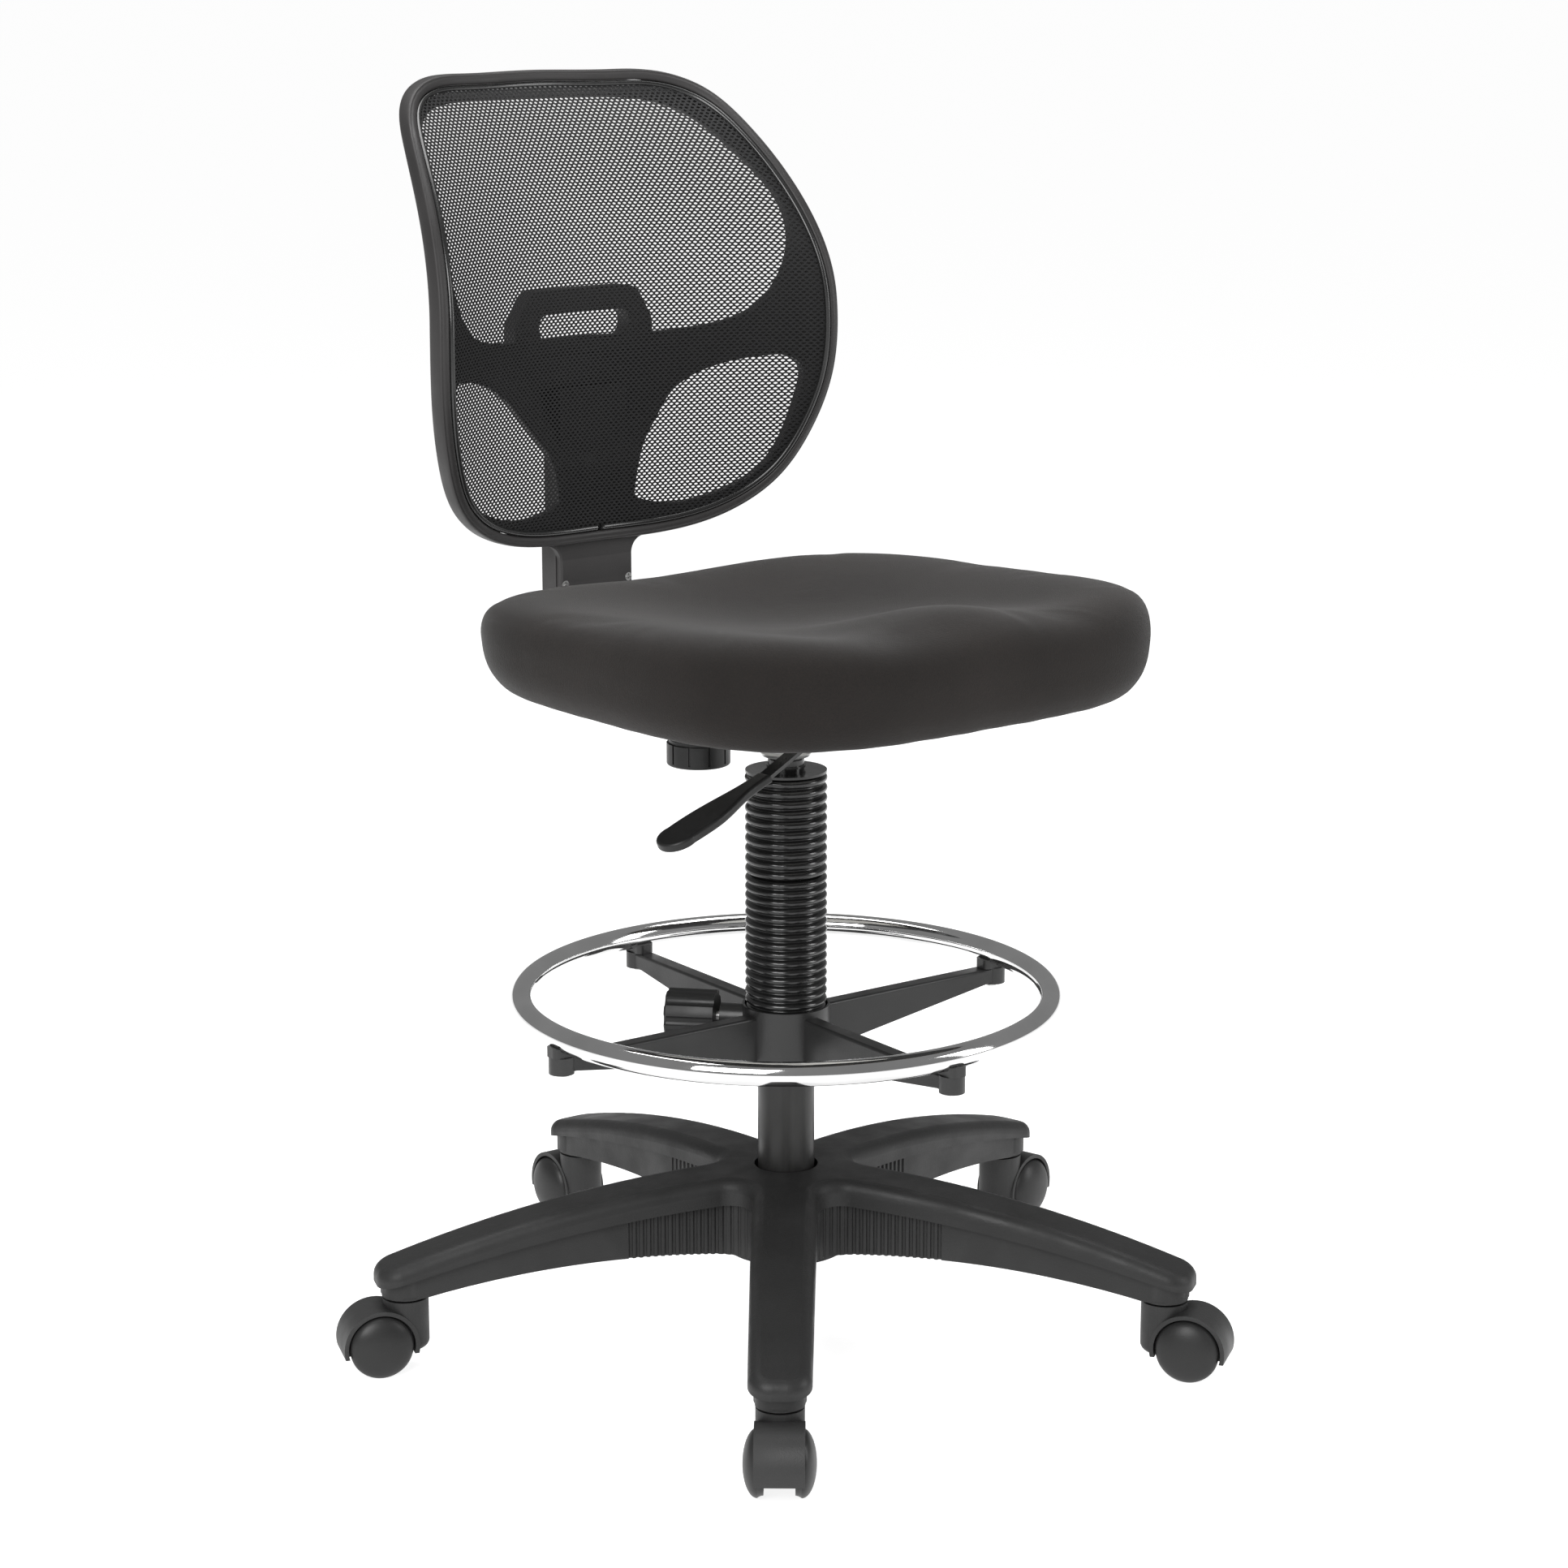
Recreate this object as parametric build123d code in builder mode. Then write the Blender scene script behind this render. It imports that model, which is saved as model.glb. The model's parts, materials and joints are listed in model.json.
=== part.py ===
from build123d import *
import os
from math import cos, hypot, pi, radians, sin, tan

os.makedirs("parts", exist_ok=True)

# Drafting chair in millimetres, +Z up. The origin is on the column's axis at floor level.
# The sitter faces -Y and the sitter's left is +X. The seat is at its lowest setting.

# ---- Five-star base ----
ARMS = 5
FIRST_ARM = -129.8          # direction of the first arm, degrees from +X
STEM_REACH = 345            # column axis to caster stem
ARM_REACH = 371
ARM_HALF_ROOT = 29.5
ARM_HALF_TIP = 26
ARMPIT_RADIUS = 22
TIP_RADIUS = 20
CROWN_Z = 152.3             # top of the hub
CROWN_RADIUS = 1200         # the arms' tops lie on one large sphere
LIP_Z = 130                 # lower edge of the cap at the hub
LIP_RADIUS = 1400
CAP_ROUNDING = 11
WEB_INSET = 6
BASE_WALL = 3.5
ARCH_Z = 86                 # highest point of the arched underside
ARCH_REACH = 165
RIB = 2.5
CROSS_RIBS = 5
FLUTE_RADIUS = 1.9
FLUTE_PITCH = 6.5
COLLAR_RADIUS = 53
COLLAR_Z = 75
SLEEVE_RADIUS = 34
SOCKET_RADIUS = 21.5
SOCKET_Z = 68

# ---- Casters ----
STEM_RADIUS = 5.5
TRAIL = 25                  # stem to axle
WHEEL_RADIUS = 27.75
WHEEL_INNER = 12.8          # inner face of a wheel from the caster's middle
WHEEL_OUTER = 29.8
HOOD_RADIUS = 33
HOOD_WIDTH = 41
HOOD_WEB = 11.5             # half of the web between the wheels
HOOD_LIP_Z = 20
WELL_RADIUS = 29.3
HOUSING_RADIUS = 20
HOUSING_TOP = 66
AXLE_RADIUS = 3
RUNNING_GAP = 0.05          # radial clearance of everything that turns or slides

# ---- Gas lift ----
TUBE_RADIUS = 25
TUBE_WALL = 2
TUBE_FOOT_Z = 76
TUBE_TOP_Z = 470
TAPER_TOP_Z = 138
TAPER_ANGLE = 1.3
CYLINDER_RADIUS = 14
CYLINDER_FOOT_Z = 100
CYLINDER_TOP_Z = 572
PISTON_Z = 398
ROD_RADIUS = 5
BUTTON_RADIUS = 4
BUTTON_TOP_Z = 580

# ---- Bellows ----
BELLOWS_FOOT_Z = 293
BELLOWS_TOP_Z = 508
BELLOWS_RADIUS = 36
BELLOWS_ROOT = 31.5
BELLOWS_WALL = 1.3
PLEATS = 26
NECK_RADIUS = 15.8

# ---- Foot ring ----
RING_Z = 308
RING_RADIUS = 232
RING_TUBE = 10.3
SPIDER_ARMS = 4
SPIDER_TURN = -93           # direction of the first spider arm
SPIDER_TOP_Z = 294
SPIDER_HUB_TOP_Z = 300
SPIDER_HUB_FOOT_Z = 252
SPIDER_HUB_RADIUS = 38.5
SPIDER_TIP_DEPTH = 13
BUSH_RADIUS = 28
RING_KNOB_RADIUS = 23

# ---- Seat mechanism ----
PAN_HALF = 62               # half width of the pan's floor
PAN_FRONT = -113
PAN_REAR = 150
PAN_Z = 557
PAN_SPREAD = 9              # the walls lean out by this much
PAN_SHEET = 2
FLANGE = 16
BOARD_Z = 591               # underside of the seat board
BOARD_THICKNESS = 12
BOLT_X = 80
BOLT_YS = (-95, 128)
GUIDE_HALF = 33.5           # channel under the pan that the back carrier slides in
GUIDE_Z = 543.5
GUIDE_FRONT = 45
GUIDE_REAR = 138
KNOB_Y = 124
KNOB_Z = 493
KNOB_SKIRT = 20
KNOB_RADIUS = 28.5
KNOB_FACETS = 10

# ---- Release lever ----
LEVER_Y = -100
LEVER_PIVOT = (-48, 566)    # x and z of the pivot pin
LEVER_END = (-108, 534)     # where the bar enters the paddle
PADDLE_TIP = (-212, 493)
PADDLE_HALF = 19

# ---- Seat ----
SEAT_HALF_X = 252
SEAT_HALF_Y = 246
SEAT_CENTRE_Y = -38
SEAT_POWER = 3.5            # exponent of the superellipse outline
SEAT_FOOT_Z = BOARD_Z + BOARD_THICKNESS
SEAT_TOP_Z = 661
COVER_SHEET = 1.2

# ---- Back carrier and back ----
CARRIER_HALF = 30
CARRIER_SHEET = 6
CARRIER_Z = 549             # middle of its level run
CARRIER_START = 64
CARRIER_FALL = 162          # where it starts to slope down
CARRIER_DIP = (287, 514)    # corner of the bend, y and z
CARRIER_TOP_Z = 766
CARRIER_BEND = 85
UPRIGHT_HALF = 41
UPRIGHT_FRONT = 274
UPRIGHT_SPLIT = 281.5
UPRIGHT_REAR = 303
UPRIGHT_FOOT_Z = 630
BACK_FACE_Y = 269           # face of the mesh at the chair's middle, low down
LEAN_START_Z = 890
LEAN = 0.00245              # how fast the top leans back
WRAP = 74                   # how far the sides come forward at the widest level
WRAP_Z = 870
WRAP_FADE = 0.00066
BACK_HALF = 207
BACK_FOOT_Z = 688
BACK_TOP_Z = 1081
BEAD_RADIUS = 2.7
RIM_WIDTH = 9.5
RIM_FRONT = 2.5             # the rim stands this far in front of the mesh
RIM_DEPTH = 20
MESH_SHEET = 1.2
YOKE_GAP = 6                # mesh to the support behind it, low down
YOKE_BULGE = 22             # how much further behind the support lies higher up
YOKE_SHEET = 8
HANDLE_REAR = 307
HANDLE_DEPTH = 18
HANDLE_TOP_Z = 903
HEIGHT_PIN_Z = 692
HEIGHT_PIN_RADIUS = 4
HEIGHT_TRAVEL = 60
PIN_HEAD_RADIUS = 6.5
PIN_HEAD = 3
SPRING_Z = 660
SPRING_HALF = 20
SPRING_WIDTH = 16
SPRING_POCKET = 8           # from the middle of the carrier
SPRING_FRONT = 290.4
SPRING_REAR = 293.8
COVER_HALF = 40
COVER_TOP_Z = 674.8
SCREW_X = 35.4
SCREW_RADIUS = 1.8
SCREW_HEAD_RADIUS = 3.7
SCREW_HEAD = 2.4
SCREW_LENGTH = 20


def save(builder, label):
    """Name a finished piece and write its file."""
    builder.part.label = label
    export_step(builder.part, f"parts/{label}.step")

# ======================= Base =======================

def arm_half_width(reach, inset=0.0):
    return ARM_HALF_ROOT + (ARM_HALF_TIP - ARM_HALF_ROOT) * reach / ARM_REACH - inset


def star_outline(inset):
    """Plan of the five-armed star, drawn in from its outer edge by inset."""
    with BuildSketch() as outline:
        with PolarLocations(0, ARMS, FIRST_ARM):
            Polygon(
                (0, -ARM_HALF_ROOT),
                (ARM_REACH, -ARM_HALF_TIP),
                (ARM_REACH, ARM_HALF_TIP),
                (0, ARM_HALF_ROOT),
                align=None,
            )
        armpits = outline.vertices().filter_by(lambda v: hypot(v.X, v.Y) < 2 * ARM_HALF_ROOT)
        fillet(armpits, ARMPIT_RADIUS)
        tips = outline.vertices().filter_by(lambda v: hypot(v.X, v.Y) > STEM_REACH)
        fillet(tips, TIP_RADIUS)
        if inset:
            offset(amount=-inset)
    return outline.sketch


def flute_spots():
    """Centres of the upright grooves on one arm's two side walls and in one armpit."""
    radius = ARMPIT_RADIUS + WEB_INSET
    half_gap = pi / ARMS
    centre_reach = (ARM_HALF_ROOT - WEB_INSET + radius) / sin(half_gap)
    first = centre_reach * cos(half_gap)
    spots = []
    for step in range(13):
        x = first + step * FLUTE_PITCH
        for side in (-1, 1):
            spots.append((x, side * arm_half_width(x, WEB_INSET)))
    for step in range(-3, 4):
        angle = pi + half_gap + step * FLUTE_PITCH / radius
        x = centre_reach * cos(half_gap) + radius * cos(angle)
        y = centre_reach * sin(half_gap) + radius * sin(angle)
        spots.append((x, y))
    return spots


with BuildPart() as star_cap:
    with BuildSketch(Plane.XY.offset(SOCKET_Z)):
        add(star_outline(0))
    extrude(amount=CROWN_Z - SOCKET_Z)
    with Locations((0, 0, CROWN_Z - CROWN_RADIUS)):
        Sphere(CROWN_RADIUS, rotation=(90, 0, 0), mode=Mode.INTERSECT)
    with Locations((0, 0, LIP_Z - LIP_RADIUS)):
        Sphere(LIP_RADIUS, rotation=(90, 0, 0), mode=Mode.SUBTRACT)
    crown = star_cap.faces().filter_by(GeomType.SPHERE).sort_by(Axis.Z)[-1]
    fillet(crown.outer_wire().edges(), CAP_ROUNDING)

with BuildPart() as star_hollow:
    with BuildSketch():
        add(star_outline(WEB_INSET + BASE_WALL))
        Circle(SLEEVE_RADIUS, mode=Mode.SUBTRACT)
        with PolarLocations(STEM_REACH, ARMS, FIRST_ARM):
            Circle(SOCKET_RADIUS - 4, mode=Mode.SUBTRACT)
        with PolarLocations(STEM_REACH / 2, ARMS, FIRST_ARM):
            Rectangle(STEM_REACH, RIB, mode=Mode.SUBTRACT)
        for rib in range(CROSS_RIBS):
            reach = COLLAR_RADIUS + 22 + rib * 48
            with PolarLocations(reach, ARMS, FIRST_ARM):
                Rectangle(RIB, 2 * ARM_HALF_ROOT, mode=Mode.SUBTRACT)
    extrude(amount=CROWN_Z)
    with Locations((0, 0, CROWN_Z - CROWN_RADIUS)):
        Sphere(CROWN_RADIUS - BASE_WALL, rotation=(90, 0, 0), mode=Mode.INTERSECT)

with BuildPart() as base_star:
    # fluted side walls
    with BuildSketch(Plane.XY.offset(COLLAR_Z - 20)):
        add(star_outline(WEB_INSET))
        with PolarLocations(0, ARMS, FIRST_ARM):
            with Locations(*flute_spots()):
                Circle(FLUTE_RADIUS, mode=Mode.SUBTRACT)
    extrude(amount=CROWN_Z - COLLAR_Z)
    with Locations((0, 0, LIP_Z - LIP_RADIUS)):
        Sphere(LIP_RADIUS + 3, rotation=(90, 0, 0), mode=Mode.INTERSECT)
    # arched underside
    with BuildSketch(Plane.XZ):
        with BuildLine():
            arch = ThreePointArc(
                (COLLAR_RADIUS, ARCH_Z - 6.7), (ARCH_REACH, ARCH_Z), (STEM_REACH - 12, SOCKET_Z + 1.2)
            )
            Polyline(arch @ 1, (ARM_REACH + 9, SOCKET_Z + 1.2), (ARM_REACH + 9, 0), (0, 0),
                     (0, ARCH_Z - 6.7), arch @ 0)
        make_face()
    revolve(axis=Axis.Z, mode=Mode.SUBTRACT)
    add(star_cap.part)
    add(star_hollow.part, mode=Mode.SUBTRACT)
    # hub collar, sleeve and caster sockets
    with BuildSketch(Plane.XY.offset(COLLAR_Z)):
        Circle(COLLAR_RADIUS)
        Circle(COLLAR_RADIUS - BASE_WALL, mode=Mode.SUBTRACT)
        Circle(SLEEVE_RADIUS)
    extrude(amount=CROWN_Z - COLLAR_Z - BASE_WALL)
    with PolarLocations(STEM_REACH, ARMS, FIRST_ARM):
        with Locations((0, 0, SOCKET_Z + 3)):
            Cylinder(SOCKET_RADIUS, 15, align=(Align.CENTER, Align.CENTER, Align.MIN))
        with Locations((0, 0, SOCKET_Z)):
            Cylinder(SOCKET_RADIUS - 1, 5, align=(Align.CENTER, Align.CENTER, Align.MIN))
            Cylinder(STEM_RADIUS + RUNNING_GAP, 28, align=(Align.CENTER, Align.CENTER, Align.MIN),
                     mode=Mode.SUBTRACT)
    # tapered seat for the column and the wider mouth above it
    with Locations((0, 0, TAPER_TOP_Z)):
        Cylinder(TUBE_RADIUS + 3.2, 40, align=(Align.CENTER, Align.CENTER, Align.MIN), mode=Mode.SUBTRACT)
    taper_drop = (TAPER_TOP_Z - COLLAR_Z) * tan(radians(TAPER_ANGLE))
    with Locations((0, 0, COLLAR_Z)):
        Cone(
            TUBE_RADIUS + RUNNING_GAP - taper_drop, TUBE_RADIUS + RUNNING_GAP, TAPER_TOP_Z - COLLAR_Z,
            align=(Align.CENTER, Align.CENTER, Align.MIN), mode=Mode.SUBTRACT,
        )
save(base_star, "base_star")


# ======================= Casters =======================

def caster_planes(index):
    """The floor plane at one caster's stem, and the upright plane through its middle, x outward."""
    direction = radians(FIRST_ARM + index * 360 / ARMS)
    out = (cos(direction), sin(direction), 0)
    across = (sin(direction), -cos(direction), 0)
    stem = (STEM_REACH * out[0], STEM_REACH * out[1], 0)
    return Plane(stem, x_dir=out, z_dir=(0, 0, 1)), Plane(stem, x_dir=out, z_dir=across)


def make_hood(floor, upright):
    """One-piece caster body: cover over both wheels, web between them and stem housing."""
    with BuildPart() as hood:
        with BuildSketch(upright):
            with Locations((TRAIL, WHEEL_RADIUS)):
                Circle(HOOD_RADIUS)
            with Locations((TRAIL, HOOD_LIP_Z)):
                Rectangle(3 * HOOD_RADIUS, HOOD_RADIUS, align=(Align.CENTER, Align.MAX), mode=Mode.SUBTRACT)
        extrude(amount=HOOD_WIDTH / 2, both=True)
        with BuildSketch(floor.offset(HOOD_LIP_Z)):
            Circle(HOUSING_RADIUS)
        extrude(amount=HOUSING_TOP - HOOD_LIP_Z)
        foot = hood.edges().filter_by(GeomType.CIRCLE).group_by(Axis.Z)[0]
        fillet(foot.filter_by(lambda e: abs(e.radius - HOUSING_RADIUS) < 0.1), 7)
        for side in (-1, 1):
            with BuildSketch(upright.offset(side * HOOD_WEB)):
                with Locations((TRAIL, WHEEL_RADIUS)):
                    Circle(WELL_RADIUS)
            extrude(amount=side * HOOD_WIDTH, mode=Mode.SUBTRACT)
        with BuildSketch(upright):
            with Locations((TRAIL, WHEEL_RADIUS)):
                Circle(AXLE_RADIUS)
        extrude(amount=HOOD_WIDTH, both=True, mode=Mode.SUBTRACT)
        with BuildSketch(floor.offset(HOUSING_TOP)):
            Circle(HOUSING_RADIUS - 2.5)
        extrude(amount=-3, mode=Mode.SUBTRACT)
        with BuildSketch(floor.offset(HOUSING_TOP)):
            Circle(STEM_RADIUS + RUNNING_GAP)
        extrude(amount=-26, mode=Mode.SUBTRACT)
    return hood


def make_wheel(upright, side):
    """One wheel: a narrow tread and an elliptical dome, recessed on its inner face."""
    tread = WHEEL_INNER + 5
    with BuildPart() as wheel:
        section = Plane(upright.origin + upright.x_dir * TRAIL + Vector(0, 0, WHEEL_RADIUS),
                        x_dir=upright.z_dir * side, z_dir=upright.x_dir * side)
        with BuildSketch(section):
            with BuildLine():
                dome = EllipticalCenterArc((tread, 0), WHEEL_OUTER - tread, WHEEL_RADIUS,
                                           start_angle=0, arc_size=90)
                shoulder = RadiusArc(dome @ 1, (WHEEL_INNER, WHEEL_RADIUS - 2), 8)
                Polyline(shoulder @ 1, (WHEEL_INNER, 23), (tread, 21), (tread, 9), (WHEEL_INNER, 8),
                         (WHEEL_INNER, AXLE_RADIUS + RUNNING_GAP), (24, AXLE_RADIUS + RUNNING_GAP), (24, 0),
                         dome @ 0)
            make_face()
        revolve(axis=Axis(section.origin, section.x_dir))
    return wheel


def make_axle(upright):
    with BuildPart() as axle:
        with BuildSketch(upright):
            with Locations((TRAIL, WHEEL_RADIUS)):
                Circle(AXLE_RADIUS)
        extrude(amount=23, both=True)
        chamfer(axle.edges(), 0.5)
    return axle


for caster in range(ARMS):
    floor_plane, upright_plane = caster_planes(caster)
    number = caster + 1
    save(make_hood(floor_plane, upright_plane), f"caster_{number}_hood")
    save(make_axle(upright_plane), f"caster_{number}_axle")
    save(make_wheel(upright_plane, 1), f"caster_{number}_wheel_left")
    save(make_wheel(upright_plane, -1), f"caster_{number}_wheel_right")

with BuildPart() as caster_stems:
    with PolarLocations(STEM_REACH, ARMS, FIRST_ARM):
        with Locations((0, 0, 41)):
            Cylinder(STEM_RADIUS, 53, align=(Align.CENTER, Align.CENTER, Align.MIN))
        with Locations((0, 0, SOCKET_Z - 4)):
            Cylinder(9, 3.9, align=(Align.CENTER, Align.CENTER, Align.MIN))
save(caster_stems, "caster_stems")


# ======================= Gas lift =======================

def section_box(inner, outer, low, high):
    """A ring's section in the open sketch, given by its radii and heights."""
    Polygon((inner, low), (outer, low), (outer, high), (inner, high), align=None)


with BuildPart() as column_tube:
    foot_radius = TUBE_RADIUS - (TAPER_TOP_Z - TUBE_FOOT_Z) * tan(radians(TAPER_ANGLE))
    with BuildSketch(Plane.XZ):
        with BuildLine():
            Polyline((ROD_RADIUS + 0.6, TUBE_FOOT_Z), (foot_radius, TUBE_FOOT_Z), (TUBE_RADIUS, TAPER_TOP_Z),
                     (TUBE_RADIUS, TUBE_TOP_Z), (TUBE_RADIUS - TUBE_WALL, TUBE_TOP_Z),
                     (TUBE_RADIUS - TUBE_WALL, TAPER_TOP_Z), (foot_radius - TUBE_WALL, TUBE_FOOT_Z + 3),
                     (ROD_RADIUS + 0.6, TUBE_FOOT_Z + 3), close=True)
        make_face()
    revolve(axis=Axis.Z)
save(column_tube, "column_tube")

with BuildPart() as column_bush:
    bore = CYLINDER_RADIUS + RUNNING_GAP
    with BuildSketch(Plane.XZ):
        section_box(bore, TUBE_RADIUS - TUBE_WALL, TUBE_TOP_Z - 70, TUBE_TOP_Z)
        section_box(bore, TUBE_RADIUS, TUBE_TOP_Z, TUBE_TOP_Z + 3)
    revolve(axis=Axis.Z)
save(column_bush, "column_bush")

with BuildPart() as thrust_bearing:
    race_z = TUBE_FOOT_Z + 3
    with BuildSketch(Plane.XZ):
        section_box(ROD_RADIUS + 0.3, 13, race_z, race_z + 2)
        section_box(ROD_RADIUS + 0.3, 13, race_z + 5.2, race_z + 7.2)
    revolve(axis=Axis.Z)
    with BuildSketch(Plane.XY.offset(race_z + 2.6)):
        Circle(12.5)
        Circle(ROD_RADIUS + 0.3, mode=Mode.SUBTRACT)
        with PolarLocations(9, 10):
            Circle(1.7, mode=Mode.SUBTRACT)
    extrude(amount=2)
    with Locations((0, 0, race_z + 3.6)):
        with PolarLocations(9, 10):
            Sphere(1.5)
save(thrust_bearing, "thrust_bearing")

with BuildPart() as piston_rod:
    with BuildSketch(Plane.XZ):
        section_box(0, ROD_RADIUS, TUBE_FOOT_Z - 6, PISTON_Z + 8)
        section_box(0, 8, TUBE_FOOT_Z + 10.3, TUBE_FOOT_Z + 13.3)
        section_box(0, CYLINDER_RADIUS - 1.9, PISTON_Z, PISTON_Z + 8)
        section_box(0, ROD_RADIUS + 1, TUBE_FOOT_Z - 4, TUBE_FOOT_Z - 2.8)
    revolve(axis=Axis.Z)
save(piston_rod, "piston_rod")

with BuildPart() as retaining_clip:
    with BuildSketch(Plane.XY.offset(TUBE_FOOT_Z - 2.6)):
        Circle(9.5)
        Circle(ROD_RADIUS, mode=Mode.SUBTRACT)
        with Locations((0, -ROD_RADIUS)):
            Rectangle(5, 12, mode=Mode.SUBTRACT)
    extrude(amount=2)
save(retaining_clip, "retaining_clip")

with BuildPart() as gas_cylinder:
    with BuildSketch(Plane.XZ):
        with BuildLine():
            Polyline((ROD_RADIUS + RUNNING_GAP, CYLINDER_FOOT_Z), (CYLINDER_RADIUS, CYLINDER_FOOT_Z),
                     (CYLINDER_RADIUS, 530), (CYLINDER_RADIUS - 0.8, CYLINDER_TOP_Z),
                     (BUTTON_RADIUS + RUNNING_GAP, CYLINDER_TOP_Z),
                     (BUTTON_RADIUS + RUNNING_GAP, CYLINDER_TOP_Z - 26),
                     (CYLINDER_RADIUS - 1.8, CYLINDER_TOP_Z - 26),
                     (CYLINDER_RADIUS - 1.8, CYLINDER_FOOT_Z + 16),
                     (ROD_RADIUS + RUNNING_GAP, CYLINDER_FOOT_Z + 16), close=True)
        make_face()
    revolve(axis=Axis.Z)
save(gas_cylinder, "gas_cylinder")

with BuildPart() as release_button:
    with BuildSketch(Plane.XY.offset(CYLINDER_TOP_Z - 18)):
        Circle(BUTTON_RADIUS)
    extrude(amount=BUTTON_TOP_Z - CYLINDER_TOP_Z + 18)
    fillet(release_button.edges().group_by(Axis.Z)[-1], 1.5)
save(release_button, "release_button")


# ======================= Bellows =======================

with BuildPart() as bellows:
    pitch = (BELLOWS_TOP_Z - BELLOWS_FOOT_Z) / PLEATS
    outside = [(BELLOWS_ROOT, BELLOWS_FOOT_Z)]
    for pleat in range(PLEATS):
        outside.append((BELLOWS_RADIUS, BELLOWS_FOOT_Z + (pleat + 0.5) * pitch))
        outside.append((BELLOWS_ROOT, BELLOWS_FOOT_Z + (pleat + 1) * pitch))
    inside = [(radius - BELLOWS_WALL, z) for radius, z in reversed(outside)]
    with BuildSketch(Plane.XZ):
        with BuildLine():
            Polyline(*outside, *inside, close=True)
        make_face()
    revolve(axis=Axis.Z)
save(bellows, "bellows")

with BuildPart() as bellows_collar:
    with BuildSketch(Plane.XZ):
        section_box(CYLINDER_RADIUS + 0.1, BELLOWS_RADIUS - 0.5, BELLOWS_TOP_Z + 0.2, BELLOWS_TOP_Z + 2.4)
        section_box(CYLINDER_RADIUS + 0.1, NECK_RADIUS, BELLOWS_TOP_Z + 0.2, BELLOWS_TOP_Z + 12)
        section_box(CYLINDER_RADIUS + 0.1, NECK_RADIUS + 1.2, BELLOWS_TOP_Z + 5, BELLOWS_TOP_Z + 7)
    revolve(axis=Axis.Z)
save(bellows_collar, "bellows_collar")


# ======================= Foot ring =======================

def spider_direction(step):
    return radians(SPIDER_TURN + step * 360 / SPIDER_ARMS)


with BuildPart() as ring_bush:
    with BuildSketch(Plane.XZ):
        section_box(TUBE_RADIUS + RUNNING_GAP, BUSH_RADIUS, SPIDER_HUB_FOOT_Z - 2, BELLOWS_FOOT_Z - 1)
        section_box(TUBE_RADIUS + RUNNING_GAP, BUSH_RADIUS + 3, SPIDER_HUB_FOOT_Z - 4,
                    SPIDER_HUB_FOOT_Z - 0.5)
    revolve(axis=Axis.Z)
    slit = Plane((0, 0, SPIDER_HUB_FOOT_Z - 4), x_dir=(cos(spider_direction(0)), sin(spider_direction(0)), 0))
    with BuildSketch(slit):
        with Locations((TUBE_RADIUS, 0)):
            Rectangle(16, 2)
    extrude(amount=60, mode=Mode.SUBTRACT)
save(ring_bush, "ring_bush")

with BuildPart() as foot_ring:
    with BuildSketch(Plane.XZ):
        with Locations((RING_RADIUS, RING_Z)):
            Circle(RING_TUBE)
            Circle(RING_TUBE - 1.8, mode=Mode.SUBTRACT)
    revolve(axis=Axis.Z)
save(foot_ring, "foot_ring")

with BuildPart() as ring_spider:
    hub_foot = SPIDER_HUB_FOOT_Z
    with BuildSketch(Plane.XZ):
        section_box(BUSH_RADIUS + RUNNING_GAP, SPIDER_HUB_RADIUS, hub_foot, BELLOWS_FOOT_Z - 0.4)
        section_box(BELLOWS_RADIUS + 0.6, SPIDER_HUB_RADIUS, BELLOWS_FOOT_Z - 1, SPIDER_HUB_TOP_Z)
    revolve(axis=Axis.Z)
    for step in range(SPIDER_ARMS):
        direction = spider_direction(step)
        out = (cos(direction), sin(direction), 0)
        side = Plane((0, 0, 0), x_dir=out, z_dir=(sin(direction), -cos(direction), 0))
        with BuildSketch(side):
            with BuildLine():
                Polyline((SPIDER_HUB_RADIUS - 1, SPIDER_TOP_Z), (RING_RADIUS + 8, SPIDER_TOP_Z),
                         (RING_RADIUS + 8, SPIDER_TOP_Z - SPIDER_TIP_DEPTH),
                         (RING_RADIUS - 8, SPIDER_TOP_Z - SPIDER_TIP_DEPTH),
                         (SPIDER_HUB_RADIUS + 14, hub_foot + 3), (SPIDER_HUB_RADIUS - 1, hub_foot + 3),
                         close=True)
            make_face()
        extrude(amount=8, both=True)
    with BuildSketch(Plane.XY.offset(SPIDER_TOP_Z - SPIDER_TIP_DEPTH - 2)):
        with PolarLocations(RING_RADIUS + 2, SPIDER_ARMS, SPIDER_TURN):
            Circle(11)
    extrude(amount=SPIDER_TIP_DEPTH + 2)
    # rounded long edges of the arms' tops
    flat = ring_spider.faces().filter_by(Plane.XY).group_by(Axis.Z)[-2]
    fillet(flat.edges().filter_by(GeomType.LINE).filter_by(lambda e: e.length > 100), 2.5)
    # boss and thread hole for the clamp knob, half way between two arms
    boss = Plane((0, 0, (hub_foot + SPIDER_HUB_TOP_Z) / 2 + 9), x_dir=(0, 0, 1),
                 z_dir=(cos(spider_direction(2.5)), sin(spider_direction(2.5)), 0))
    with BuildSketch(boss.offset(BELLOWS_RADIUS + 0.4)):
        Circle(12)
    extrude(amount=21.6)
    with BuildSketch(boss.offset(BUSH_RADIUS - 2)):
        Circle(4.05)
    extrude(amount=50, mode=Mode.SUBTRACT)
    with PolarLocations(RING_RADIUS, SPIDER_ARMS, SPIDER_TURN):
        with Locations((0, 0, SPIDER_TOP_Z - SPIDER_TIP_DEPTH - 5)):
            Cylinder(2.6, SPIDER_TIP_DEPTH + 8, align=(Align.CENTER, Align.CENTER, Align.MIN),
                     mode=Mode.SUBTRACT)
save(ring_spider, "ring_spider")

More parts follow.
